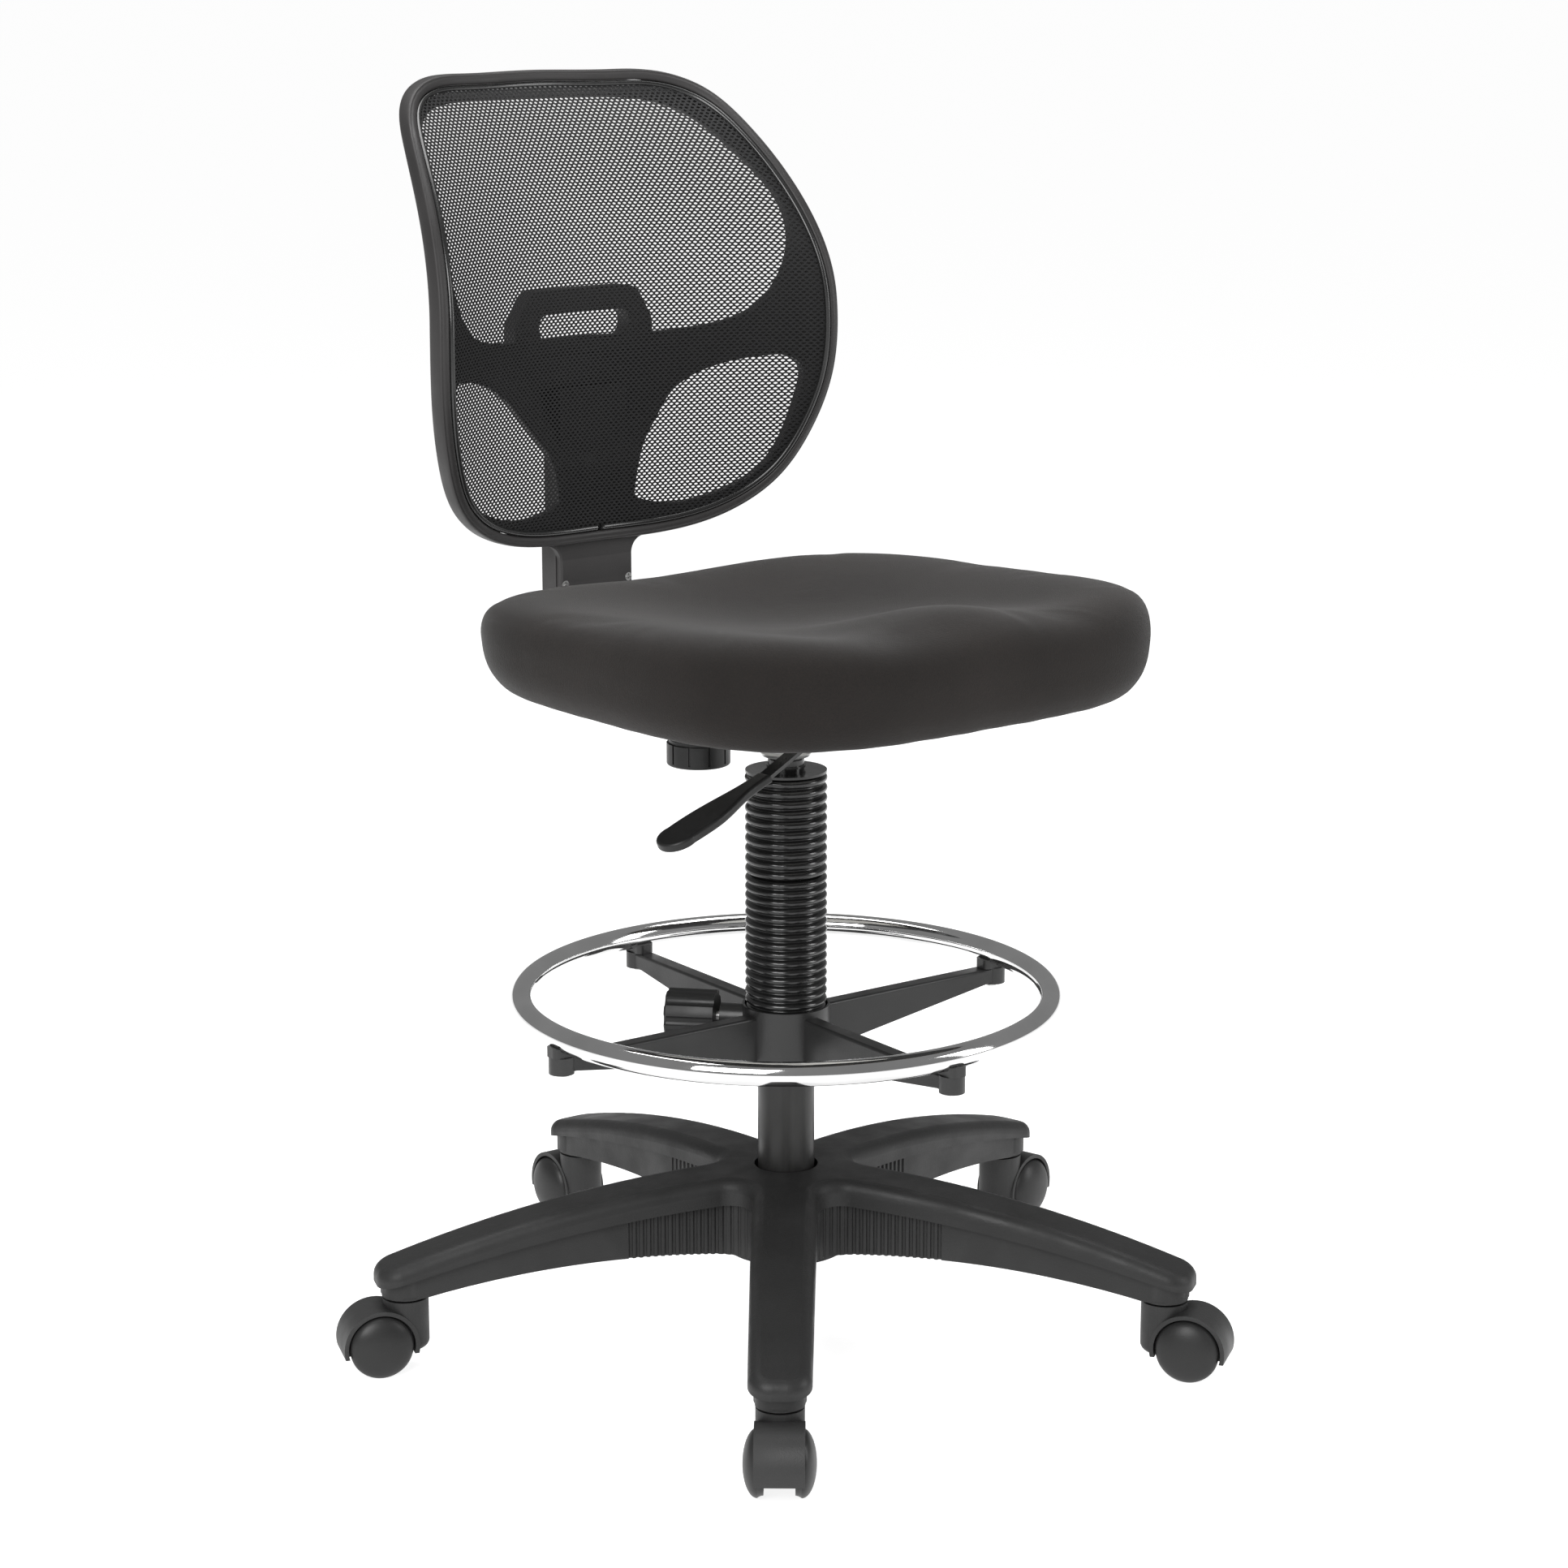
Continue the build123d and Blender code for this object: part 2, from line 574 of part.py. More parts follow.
with BuildPart() as ring_saddles:
    with BuildSketch(Plane.XY.offset(SPIDER_TOP_Z + 0.1)):
        with PolarLocations(RING_RADIUS, SPIDER_ARMS, SPIDER_TURN):
            RectangleRounded(26, 17, 5)
    extrude(amount=8.5)
    with BuildSketch(Plane.XZ):
        with Locations((RING_RADIUS, RING_Z)):
            Circle(RING_TUBE + RUNNING_GAP)
    revolve(axis=Axis.Z, mode=Mode.SUBTRACT)
    with PolarLocations(RING_RADIUS, SPIDER_ARMS, SPIDER_TURN):
        with Locations((0, 0, SPIDER_TOP_Z - 2)):
            Cylinder(2.6, 12, align=(Align.CENTER, Align.CENTER, Align.MIN), mode=Mode.SUBTRACT)
save(ring_saddles, "ring_saddles")

with BuildPart() as ring_screws:
    with PolarLocations(RING_RADIUS, SPIDER_ARMS, SPIDER_TURN):
        with Locations((0, 0, SPIDER_TOP_Z - SPIDER_TIP_DEPTH - 4.6)):
            Cylinder(4.8, 2.5, align=(Align.CENTER, Align.CENTER, Align.MIN))
            Cylinder(2.5, SPIDER_TIP_DEPTH + 7.8, align=(Align.CENTER, Align.CENTER, Align.MIN))
            Cylinder(1.6, 1.4, align=(Align.CENTER, Align.CENTER, Align.MIN), mode=Mode.SUBTRACT)
save(ring_screws, "ring_screws")

knob_plane = boss.offset(62)
with BuildPart() as ring_knob:
    with BuildSketch(knob_plane):
        Circle(RING_KNOB_RADIUS)
        with PolarLocations(RING_KNOB_RADIUS + 3, 8):
            Circle(5.5, mode=Mode.SUBTRACT)
    extrude(amount=44)
    fillet(ring_knob.faces().sort_by(Axis(knob_plane.origin, knob_plane.z_dir))[-1].edges(), 2.5)
    with BuildSketch(knob_plane):
        Circle(4)
    extrude(amount=30, mode=Mode.SUBTRACT)
save(ring_knob, "ring_knob")

with BuildPart() as ring_stud:
    with BuildSketch(boss.offset(BUSH_RADIUS + 0.4)):
        Circle(4)
    extrude(amount=62 - BUSH_RADIUS + 28)
save(ring_stud, "ring_stud")


# ======================= Seat mechanism =======================

def pan_rectangle(z, spread):
    """One level of the pressed pan: the floor's outline grown by spread."""
    with BuildSketch(Plane.XY.offset(z)) as level:
        with Locations((0, (PAN_FRONT + PAN_REAR) / 2)):
            RectangleRounded(2 * (PAN_HALF + spread), PAN_REAR - PAN_FRONT + 2 * spread, 9 + spread)
    return level.sketch


pan_top = BOARD_Z - COVER_SHEET - PAN_SHEET
with BuildPart() as mechanism_plate:
    add(pan_rectangle(PAN_Z, 0))
    add(pan_rectangle(pan_top, PAN_SPREAD))
    loft()
    add(pan_rectangle(PAN_Z + PAN_SHEET, -PAN_SHEET))
    add(pan_rectangle(pan_top, PAN_SPREAD - PAN_SHEET))
    loft(mode=Mode.SUBTRACT)
    with BuildSketch(Plane.XY.offset(pan_top)):
        with Locations((0, (PAN_FRONT + PAN_REAR) / 2)):
            RectangleRounded(2 * (PAN_HALF + PAN_SPREAD + FLANGE),
                             PAN_REAR - PAN_FRONT + 2 * (PAN_SPREAD + FLANGE), 20)
            RectangleRounded(2 * (PAN_HALF + PAN_SPREAD - PAN_SHEET),
                             PAN_REAR - PAN_FRONT + 2 * (PAN_SPREAD - PAN_SHEET), 14, mode=Mode.SUBTRACT)
        for y in BOLT_YS:
            with Locations((-BOLT_X, y), (BOLT_X, y)):
                Circle(3.5, mode=Mode.SUBTRACT)
    extrude(amount=PAN_SHEET)
    # raised ribs pressed into the floor
    with BuildSketch(Plane.XY.offset(PAN_Z + PAN_SHEET)):
        with Locations((-44, 20), (44, 20)):
            SlotOverall(150, 8, rotation=90)
    extrude(amount=2.5)
    # channel for the back carrier
    with BuildSketch(Plane.XY.offset(GUIDE_Z)):
        with Locations((0, (GUIDE_FRONT + GUIDE_REAR) / 2)):
            Rectangle(2 * GUIDE_HALF, GUIDE_REAR - GUIDE_FRONT)
    extrude(amount=PAN_Z - GUIDE_Z)
    with BuildSketch(Plane.XY.offset(GUIDE_Z + PAN_SHEET)):
        with Locations((0, (GUIDE_FRONT + GUIDE_REAR) / 2)):
            Rectangle(2 * CARRIER_HALF + 0.6, GUIDE_REAR - GUIDE_FRONT)
    extrude(amount=PAN_Z - GUIDE_Z - PAN_SHEET, mode=Mode.SUBTRACT)
    # holes for the gas lift and the depth stud, slot for the lever, drain hole in front
    with BuildSketch(Plane.XY.offset(PAN_Z - 1)):
        Circle(CYLINDER_RADIUS + 4)
    extrude(amount=PAN_SHEET + 2, mode=Mode.SUBTRACT)
    with BuildSketch(Plane.XY.offset(GUIDE_Z - 1)):
        with Locations((0, KNOB_Y)):
            Circle(4.3)
    extrude(amount=PAN_Z - GUIDE_Z + PAN_SHEET + 4, mode=Mode.SUBTRACT)
    with Locations((-PAN_HALF - 2, LEVER_Y, PAN_Z + 4)):
        Box(22, 17, 19, mode=Mode.SUBTRACT)
    # lugs for the lever's pin
    pin_x, pin_z = LEVER_PIVOT
    for y in (LEVER_Y - 9.5, LEVER_Y + 9.5):
        with Locations((pin_x, y, PAN_Z + PAN_SHEET - 0.5)):
            Box(11, 3, pin_z + 5 - PAN_Z - PAN_SHEET, align=(Align.CENTER, Align.CENTER, Align.MIN))
    with Locations((pin_x, LEVER_Y, pin_z)):
        Cylinder(2.5, 24, rotation=(90, 0, 0), mode=Mode.SUBTRACT)
    with Locations((28, PAN_FRONT - 4, PAN_Z + 18)):
        Cylinder(4, 14, rotation=(90, 0, 0), mode=Mode.SUBTRACT)
save(mechanism_plate, "mechanism_plate")

with BuildPart() as column_socket:
    with BuildSketch(Plane.XZ):
        with BuildLine():
            Polyline((CYLINDER_RADIUS + 0.1, 523), (21, 523), (22.5, 526), (21, 528), (22.5, 530), (24, 533),
                     (31, 548), (31, PAN_Z - 0.1), (17.5, PAN_Z - 0.1), (17.5, 570),
                     (CYLINDER_RADIUS + 0.1, 570), close=True)
        make_face()
    revolve(axis=Axis.Z)
save(column_socket, "column_socket")

with BuildPart() as mechanism_bolts:
    bolt_head_z = pan_top - 5
    for y in BOLT_YS:
        with Locations((-BOLT_X, y, bolt_head_z), (BOLT_X, y, bolt_head_z)):
            Cylinder(3, BOARD_Z + 9 - bolt_head_z, align=(Align.CENTER, Align.CENTER, Align.MIN))
            Cylinder(6.5, 4.9, align=(Align.CENTER, Align.CENTER, Align.MIN))
            Cylinder(2, 3, align=(Align.CENTER, Align.CENTER, Align.MIN), mode=Mode.SUBTRACT)
save(mechanism_bolts, "mechanism_bolts")

with BuildPart() as depth_bush:
    with BuildSketch(Plane.XY.offset(523)):
        with Locations((0, KNOB_Y)):
            Circle(9.5)
            Circle(4 + RUNNING_GAP, mode=Mode.SUBTRACT)
    extrude(amount=GUIDE_Z - 523)
save(depth_bush, "depth_bush")

with BuildPart() as depth_knob:
    with BuildSketch(Plane.XY.offset(KNOB_Z)):
        with Locations((0, KNOB_Y)):
            Circle(KNOB_RADIUS)
    extrude(amount=KNOB_SKIRT)
    fillet(depth_knob.edges().group_by(Axis.Z)[0], 2)
    with BuildSketch(Plane.XY.offset(KNOB_Z + 3)):
        with Locations((0, KNOB_Y)):
            with PolarLocations(KNOB_RADIUS, KNOB_FACETS):
                Rectangle(2.4, 2, mode=Mode.ADD)
    extrude(amount=KNOB_SKIRT, mode=Mode.SUBTRACT)
    with BuildSketch(Plane.XY.offset(KNOB_Z + KNOB_SKIRT)):
        with Locations((0, KNOB_Y)):
            Circle(KNOB_RADIUS - 2)
    extrude(amount=3)
    with BuildSketch(Plane.XY.offset(KNOB_Z + 4)):
        with Locations((0, KNOB_Y)):
            Circle(KNOB_RADIUS - 4)
    extrude(amount=KNOB_SKIRT, mode=Mode.SUBTRACT)
    with BuildSketch(Plane.XY.offset(KNOB_Z)):
        with Locations((0, KNOB_Y)):
            Circle(10.5)
            Circle(4, mode=Mode.SUBTRACT)
    extrude(amount=28.5)
save(depth_knob, "depth_knob")

with BuildPart() as depth_stud:
    with BuildSketch(Plane.XY.offset(KNOB_Z + 5)):
        with Locations((0, KNOB_Y)):
            Circle(4)
    extrude(amount=PAN_Z + 14 - KNOB_Z - 5)
save(depth_stud, "depth_stud")


# ======================= Release lever =======================

with BuildPart() as lever_pin:
    with Locations((*LEVER_PIVOT[:1], LEVER_Y, LEVER_PIVOT[1])):
        Cylinder(2.5, 23, rotation=(90, 0, 0))
        with Locations((0, 12.4, 0)):
            Cylinder(4, 2, rotation=(90, 0, 0))
save(lever_pin, "lever_pin")

lever_leg_z = BUTTON_TOP_Z + 3
paddle_x, paddle_z = PADDLE_TIP
root_x, root_z = LEVER_END
with BuildPart() as lever_bar:
    with BuildLine() as run:
        FilletPolyline((0, 9, lever_leg_z), (0, LEVER_Y, lever_leg_z), (-30, LEVER_Y, lever_leg_z - 8),
                       (root_x, LEVER_Y, root_z),
                       (root_x - 40, LEVER_Y, root_z + 40 * (paddle_z - root_z) / (root_x - paddle_x)),
                       radius=5)
    with BuildSketch(Plane(run.line @ 0, x_dir=(1, 0, 0), z_dir=run.line % 0)):
        Rectangle(10, 4)
    sweep(transition=Transition.ROUND)
    with Locations((pin_x, LEVER_Y, pin_z)):
        Cylinder(5, 10, rotation=(90, 0, 0))
        Cylinder(2.5 + RUNNING_GAP, 12, rotation=(90, 0, 0), mode=Mode.SUBTRACT)
save(lever_bar, "lever_bar")

with BuildPart() as lever_paddle:
    slope = Vector(paddle_x - root_x, 0, paddle_z - root_z).normalized()
    length = Vector(paddle_x - root_x, 0, paddle_z - root_z).length
    face = Plane((root_x, LEVER_Y, root_z), x_dir=slope, z_dir=slope.cross(Vector(0, -1, 0)))
    with BuildSketch(face):
        with BuildLine():
            near = Spline((-6, 7.5), (18, 9), (52, PADDLE_HALF - 1), (length - 22, PADDLE_HALF),
                          tangents=((1, 0), (1, -0.05)))
            tip = ThreePointArc(near @ 1, (length, 2), (length - 22, -PADDLE_HALF + 3))
            far = Spline(tip @ 1, (52, -PADDLE_HALF + 5), (18, -8.5), (-6, -7.5),
                         tangents=((-1, -0.05), (-1, 0)))
            Line(far @ 1, near @ 0)
        make_face()
    extrude(amount=4, both=True)
    fillet(lever_paddle.faces().filter_by(face).edges(), 2.5)
    add(lever_bar.part, mode=Mode.SUBTRACT)
save(lever_paddle, "lever_paddle")


# ======================= Seat =======================

def seat_outline(inset):
    """Superellipse plan of the seat, drawn in by inset."""
    half_x = SEAT_HALF_X - inset
    half_y = SEAT_HALF_Y - inset
    points = []
    for step in range(8):
        angle = 2 * pi * (step + 0.5) / 32
        x = half_x * cos(angle) ** (2 / SEAT_POWER)
        y = half_y * sin(angle) ** (2 / SEAT_POWER)
        points.append((x, y))
    quarter = [(half_x, 0)] + points + [(0, half_y)]
    half = quarter + [(-x, y) for x, y in reversed(quarter[:-1])]
    whole = half + [(x, -y) for x, y in reversed(half[1:-1])]
    with BuildSketch(Plane((0, SEAT_CENTRE_Y, 0))) as outline:
        with BuildLine():
            Spline(*whole, periodic=True)
        make_face()
    return outline.sketch


bolt_spots = [(x, y) for x in (-BOLT_X, BOLT_X) for y in BOLT_YS]

with BuildPart() as dust_cover:
    with BuildSketch(Plane.XY.offset(BOARD_Z - COVER_SHEET)):
        add(seat_outline(34))
    extrude(amount=COVER_SHEET)
    with Locations(*[(x, y, BOARD_Z - 1) for x, y in bolt_spots]):
        Cylinder(4, 8, mode=Mode.SUBTRACT)
save(dust_cover, "dust_cover")

with BuildPart() as seat_board:
    with BuildSketch(Plane.XY.offset(BOARD_Z)):
        add(seat_outline(22))
    extrude(amount=BOARD_THICKNESS - 0.1)
    with Locations(*[(x, y, BOARD_Z) for x, y in bolt_spots]):
        Cylinder(4.2, 3 * BOARD_THICKNESS, mode=Mode.SUBTRACT)
    with Locations(*[(x, y, SEAT_FOOT_Z) for x, y in bolt_spots]):
        Cylinder(10.2, 3.2, mode=Mode.SUBTRACT)
save(seat_board, "seat_board")

with BuildPart() as t_nuts:
    with Locations(*[(x, y, SEAT_FOOT_Z - 1.5) for x, y in bolt_spots]):
        Cylinder(10, 1.3, align=(Align.CENTER, Align.CENTER, Align.MIN))
        Cylinder(4.1, 8, align=(Align.CENTER, Align.CENTER, Align.MAX))
        Cylinder(3.05, 30, mode=Mode.SUBTRACT)
save(t_nuts, "t_nuts")

with BuildPart() as seat_cushion:
    with BuildSketch(Plane.XY.offset(SEAT_FOOT_Z)):
        add(seat_outline(0))
    extrude(amount=SEAT_TOP_Z - SEAT_FOOT_Z)
    fillet(seat_cushion.edges().group_by(Axis.Z)[-1], 26)
    fillet(seat_cushion.edges().group_by(Axis.Z)[0], 16)
save(seat_cushion, "seat_cushion")


# ======================= Back carrier =======================

with BuildPart() as j_bar:
    with BuildLine() as carrier_run:
        FilletPolyline((0, CARRIER_START, CARRIER_Z), (0, CARRIER_FALL, CARRIER_Z), (0, *CARRIER_DIP),
                       (0, CARRIER_DIP[0], CARRIER_TOP_Z), radius=(CARRIER_BEND, CARRIER_BEND))
    with BuildSketch(Plane(carrier_run.line @ 0, x_dir=(1, 0, 0), z_dir=carrier_run.line % 0)):
        Rectangle(2 * CARRIER_HALF, CARRIER_SHEET)
    sweep(transition=Transition.ROUND)
    # slots for the depth stud and for the pin that limits the back's height
    with BuildSketch(Plane.XY.offset(CARRIER_Z - 2 * CARRIER_SHEET)):
        with Locations((0, KNOB_Y - 2)):
            SlotOverall(66, 9, rotation=90)
    extrude(amount=6 * CARRIER_SHEET, mode=Mode.SUBTRACT)
    with BuildSketch(Plane.XZ.offset(-CARRIER_DIP[0] - CARRIER_SHEET)):
        with Locations((0, HEIGHT_PIN_Z + HEIGHT_TRAVEL / 2)):
            SlotOverall(HEIGHT_TRAVEL + 2 * HEIGHT_PIN_RADIUS + 1, 2 * HEIGHT_PIN_RADIUS + 0.4, rotation=90)
    extrude(amount=2 * CARRIER_SHEET, mode=Mode.SUBTRACT)
save(j_bar, "j_bar")


# ======================= Back =======================

def back_y(x, z):
    """Front face of the mesh: wrapped round the sitter, its top leaning back."""
    lean = LEAN * max(0, z - LEAN_START_Z) ** 2
    wrap = WRAP - WRAP_FADE * (z - WRAP_Z) ** 2
    return BACK_FACE_Y + lean - wrap * (x / BACK_HALF) ** 2


half_outline = [
    (0, BACK_FOOT_Z), (72, 690), (130, 704), (168, 731), (191, 772), (204, 820), (BACK_HALF, 865),
    (203, 925), (191, 985), (176, 1032), (158, 1062), (128, 1077), (78, BACK_TOP_Z - 1), (0, BACK_TOP_Z),
]


half_bead = [Vector(x, back_y(x, z), z) for x, z in half_outline]
bead_line = Edge.make_spline(half_bead, tangents=[Vector(1, 0, 0), Vector(-1, 0, 0)], scale=False)


def back_outline(grow):
    """The bead's outline seen from the front, grown outward by grow."""
    half = []
    for step in range(25):
        spot, run = bead_line @ (step / 24), bead_line % (step / 24)
        slope = hypot(run.X, run.Z)
        half.append((spot.X + grow * run.Z / slope, spot.Z - grow * run.X / slope))
    with BuildSketch(Plane.XZ) as outline:
        with BuildLine():
            Spline(*half, tangents=((1, 0), (-1, 0)), tangent_scalars=(1, 1))
            mirror(about=Plane.YZ)
        make_face()
    return outline.sketch


def back_face(depth, bulge=0):
    """A curved face that lies depth behind the front of the mesh, and further behind by bulge high up."""
    columns = [240 * step / 6 for step in range(-6, 7)]
    rows = [650 + 460 * step / 23 for step in range(24)]

    def behind_mesh(x, z):
        rise = min(1, max(0, (z - 740) / 80))
        return depth + bulge * rise**2 * (3 - 2 * rise) * (1 - (x / 213) ** 2)

    grid = [[Vector(x, back_y(x, z) + behind_mesh(x, z), z) for z in rows] for x in columns]
    return Face.make_surface_from_array_of_points(grid, tol=0.05)


bead_start = Plane(bead_line @ 0, x_dir=(0, 1, 0), z_dir=(1, 0, 0))
screw_spots = [(side * SCREW_X, UPRIGHT_FOOT_Z + 8) for side in (-1, 1)]
mesh_face = back_face(0)
mesh_outline = back_outline(-BEAD_RADIUS - 0.3)
rim_face = back_face(-RIM_FRONT)
rim_inside = back_outline(BEAD_RADIUS + 0.3)
rim_outside = back_outline(BEAD_RADIUS + 0.3 + RIM_WIDTH)
yoke_face = back_face(YOKE_GAP, YOKE_BULGE)
yoke_outline = back_outline(BEAD_RADIUS - 0.2)

with BuildPart() as back_mesh:
    extrude(mesh_face, amount=MESH_SHEET, dir=(0, 1, 0))
    extrude(mesh_outline, amount=-500, mode=Mode.INTERSECT)
save(back_mesh, "back_mesh")

with BuildPart() as back_bead:
    with BuildSketch(bead_start):
        Circle(BEAD_RADIUS)
    sweep(path=bead_line)
    mirror(about=Plane.YZ)
save(back_bead, "back_bead")

with BuildPart() as back_rim:
    extrude(rim_face, amount=RIM_DEPTH, dir=(0, 1, 0))
    extrude(rim_outside, amount=-500, mode=Mode.INTERSECT)
    extrude(rim_inside, amount=-500, mode=Mode.SUBTRACT)
    with BuildSketch(Plane.XY.offset(UPRIGHT_FOOT_Z)):
        with Locations((0, CARRIER_DIP[0] - CARRIER_SHEET / 2 - 0.4)):
            Rectangle(2 * CARRIER_HALF + 0.8, RIM_DEPTH, align=(Align.CENTER, Align.MIN))
    extrude(amount=BACK_FOOT_Z - UPRIGHT_FOOT_Z + 20, mode=Mode.SUBTRACT)
save(back_rim, "back_rim")

# The yoke is one moulding: the Y-shaped support, the lifting handle and the rear of the upright.
with BuildPart() as back_yoke:
    extrude(yoke_face, amount=YOKE_SHEET, dir=(0, 1, 0))
    extrude(yoke_outline, amount=-500, mode=Mode.INTERSECT)
    with BuildSketch(Plane.XZ):
        with BuildLine():
            under_arm = Spline((42, 712), (44, 728), (53, 758), (70, 780), (92, 806), (119, 823), (153, 833),
                               (178, 836))
            Spline(under_arm @ 1, (193, 826), (192, 800), (182, 765), (162, 731), (130, 712), (85, 703),
                   under_arm @ 0)
        make_face()
        mirror(about=Plane.YZ)
        with BuildLine():
            Spline((0, 859), (75, 859), (110, 862), (135, 867), (160, 880), (178, 905), (190, 945),
                   (189, 975), (168, 1022), (150, 1048), (124, 1062), (78, 1067), (0, 1068),
                   tangents=((1, 0), (-1, 0)), tangent_scalars=(1, 1))
            mirror(about=Plane.YZ)
        make_face()
    extrude(amount=-500, mode=Mode.SUBTRACT)
    # loop of the lifting handle, behind the mesh
    with BuildSketch(Plane.XZ.offset(-HANDLE_REAR)) as handle:
        Polygon((-76, 846), (-76, 872), (-58, HANDLE_TOP_Z), (58, HANDLE_TOP_Z), (76, 872), (76, 846),
                align=None)
        fillet(handle.vertices().filter_by(lambda corner: corner.Y > 850), 18)
        with Locations((0, HANDLE_TOP_Z - 33.5)):
            RectangleRounded(100, 25, 11, mode=Mode.SUBTRACT)
    extrude(amount=HANDLE_DEPTH)
    # rear of the upright; above the rim it is narrower and reaches forward into the support
    with BuildSketch(Plane.XZ.offset(-UPRIGHT_REAR)):
        with Locations((0, UPRIGHT_FOOT_Z)):
            Rectangle(2 * UPRIGHT_HALF, BACK_FOOT_Z - UPRIGHT_FOOT_Z + 4, align=(Align.CENTER, Align.MIN))
    extrude(amount=UPRIGHT_REAR - UPRIGHT_SPLIT)
    with BuildSketch(Plane.XZ.offset(-UPRIGHT_REAR)):
        with Locations((0, BACK_FOOT_Z)):
            Rectangle(2 * UPRIGHT_HALF - 8, 128, align=(Align.CENTER, Align.MIN))
    extrude(amount=UPRIGHT_REAR - UPRIGHT_SPLIT + 4.5)
    # notch round the rim, channel for the carrier, pocket for the spring, holes for the pin and screws
    with BuildSketch(Plane.XY.offset(BACK_FOOT_Z - BEAD_RADIUS - RIM_WIDTH - 1)):
        with Locations((0, UPRIGHT_FRONT)):
            Rectangle(3 * UPRIGHT_HALF, RIM_DEPTH - 7, align=(Align.CENTER, Align.MIN))
    extrude(amount=RIM_WIDTH + 2.2, mode=Mode.SUBTRACT)
    with BuildSketch(Plane.XY.offset(UPRIGHT_FOOT_Z)):
        with Locations((0, CARRIER_DIP[0])):
            Rectangle(2 * CARRIER_HALF + 0.8, CARRIER_SHEET + 0.8)
    extrude(amount=CARRIER_TOP_Z - UPRIGHT_FOOT_Z + 3, mode=Mode.SUBTRACT)
    with BuildSketch(Plane.XY.offset(SPRING_Z - SPRING_HALF - 2)):
        with Locations((0, CARRIER_DIP[0])):
            Rectangle(SPRING_WIDTH + 2, SPRING_POCKET, align=(Align.CENTER, Align.MIN))
    extrude(amount=2 * SPRING_HALF + 4, mode=Mode.SUBTRACT)
    with BuildSketch(Plane.XZ.offset(-UPRIGHT_REAR)):
        with Locations((0, HEIGHT_PIN_Z)):
            Circle(HEIGHT_PIN_RADIUS)
        with Locations(*screw_spots):
            Circle(SCREW_RADIUS)
    extrude(amount=UPRIGHT_REAR - UPRIGHT_SPLIT, mode=Mode.SUBTRACT)
    with BuildSketch(Plane.XZ.offset(-UPRIGHT_REAR)):
        with Locations((0, HEIGHT_PIN_Z)):
            Circle(PIN_HEAD_RADIUS)
    extrude(amount=PIN_HEAD, mode=Mode.SUBTRACT)
save(back_yoke, "back_yoke")

with BuildPart() as height_pin:
    with BuildSketch(Plane.XZ.offset(-UPRIGHT_REAR)):
        with Locations((0, HEIGHT_PIN_Z)):
            Circle(PIN_HEAD_RADIUS)
    extrude(amount=PIN_HEAD)
    with BuildSketch(Plane.XZ.offset(-UPRIGHT_REAR + PIN_HEAD)):
        with Locations((0, HEIGHT_PIN_Z)):
            Circle(HEIGHT_PIN_RADIUS)
    extrude(amount=UPRIGHT_REAR - UPRIGHT_SPLIT - PIN_HEAD)
    with BuildSketch(Plane.XZ.offset(-UPRIGHT_REAR)):
        with Locations((0, HEIGHT_PIN_Z)):
            RegularPolygon(3, 6)
    extrude(amount=2, mode=Mode.SUBTRACT)
save(height_pin, "height_pin")

# bowed leaf spring that presses on the carrier, so that the back stays where it is put
with BuildPart() as height_spring:
    with BuildSketch(Plane.YZ.offset(-SPRING_WIDTH / 2)):
        with BuildLine():
            front = ThreePointArc((SPRING_REAR, SPRING_Z - SPRING_HALF), (SPRING_FRONT, SPRING_Z),
                                  (SPRING_REAR, SPRING_Z + SPRING_HALF))
            rear = ThreePointArc((SPRING_REAR + 0.8, SPRING_Z - SPRING_HALF), (SPRING_FRONT + 0.8, SPRING_Z),
                                 (SPRING_REAR + 0.8, SPRING_Z + SPRING_HALF))
            Line(front @ 0, rear @ 0)
            Line(front @ 1, rear @ 1)
        make_face()
    extrude(amount=SPRING_WIDTH)
save(height_spring, "height_spring")

with BuildPart() as upright_cover:
    with BuildSketch(Plane.XZ.offset(-UPRIGHT_SPLIT)):
        with BuildLine():
            Line((0, COVER_TOP_Z), (56, COVER_TOP_Z))
            ThreePointArc((56, COVER_TOP_Z), (45, COVER_TOP_Z - 4), (COVER_HALF, COVER_TOP_Z - 15))
            Polyline((COVER_HALF, COVER_TOP_Z - 15), (COVER_HALF, UPRIGHT_FOOT_Z), (0, UPRIGHT_FOOT_Z),
                     (0, COVER_TOP_Z))
        make_face()
        mirror(about=Plane.YZ)
    extrude(amount=UPRIGHT_SPLIT - UPRIGHT_FRONT)
    front = upright_cover.faces().sort_by(Axis.Y)[0]
    chamfer(front.edges().filter_by(Axis.Z) + front.edges().sort_by(Axis.Z)[:1], 1.5)
    with BuildSketch(Plane.XZ.offset(-UPRIGHT_SPLIT)):
        with Locations((0, (UPRIGHT_FOOT_Z + COVER_TOP_Z) / 2 + 2)):
            Rectangle(2 * CARRIER_HALF - 3, COVER_TOP_Z - UPRIGHT_FOOT_Z - 10)
    extrude(amount=UPRIGHT_SPLIT - UPRIGHT_FRONT - 3, mode=Mode.SUBTRACT)
    with BuildSketch(Plane.XZ.offset(-UPRIGHT_SPLIT)):
        with Locations(*screw_spots):
            Circle(SCREW_RADIUS)
    extrude(amount=UPRIGHT_SPLIT - UPRIGHT_FRONT, mode=Mode.SUBTRACT)
    with BuildSketch(Plane.XZ.offset(-UPRIGHT_FRONT)):
        with Locations(*screw_spots):
            Circle(SCREW_HEAD_RADIUS)
    extrude(amount=-SCREW_HEAD, mode=Mode.SUBTRACT)
save(upright_cover, "upright_cover")

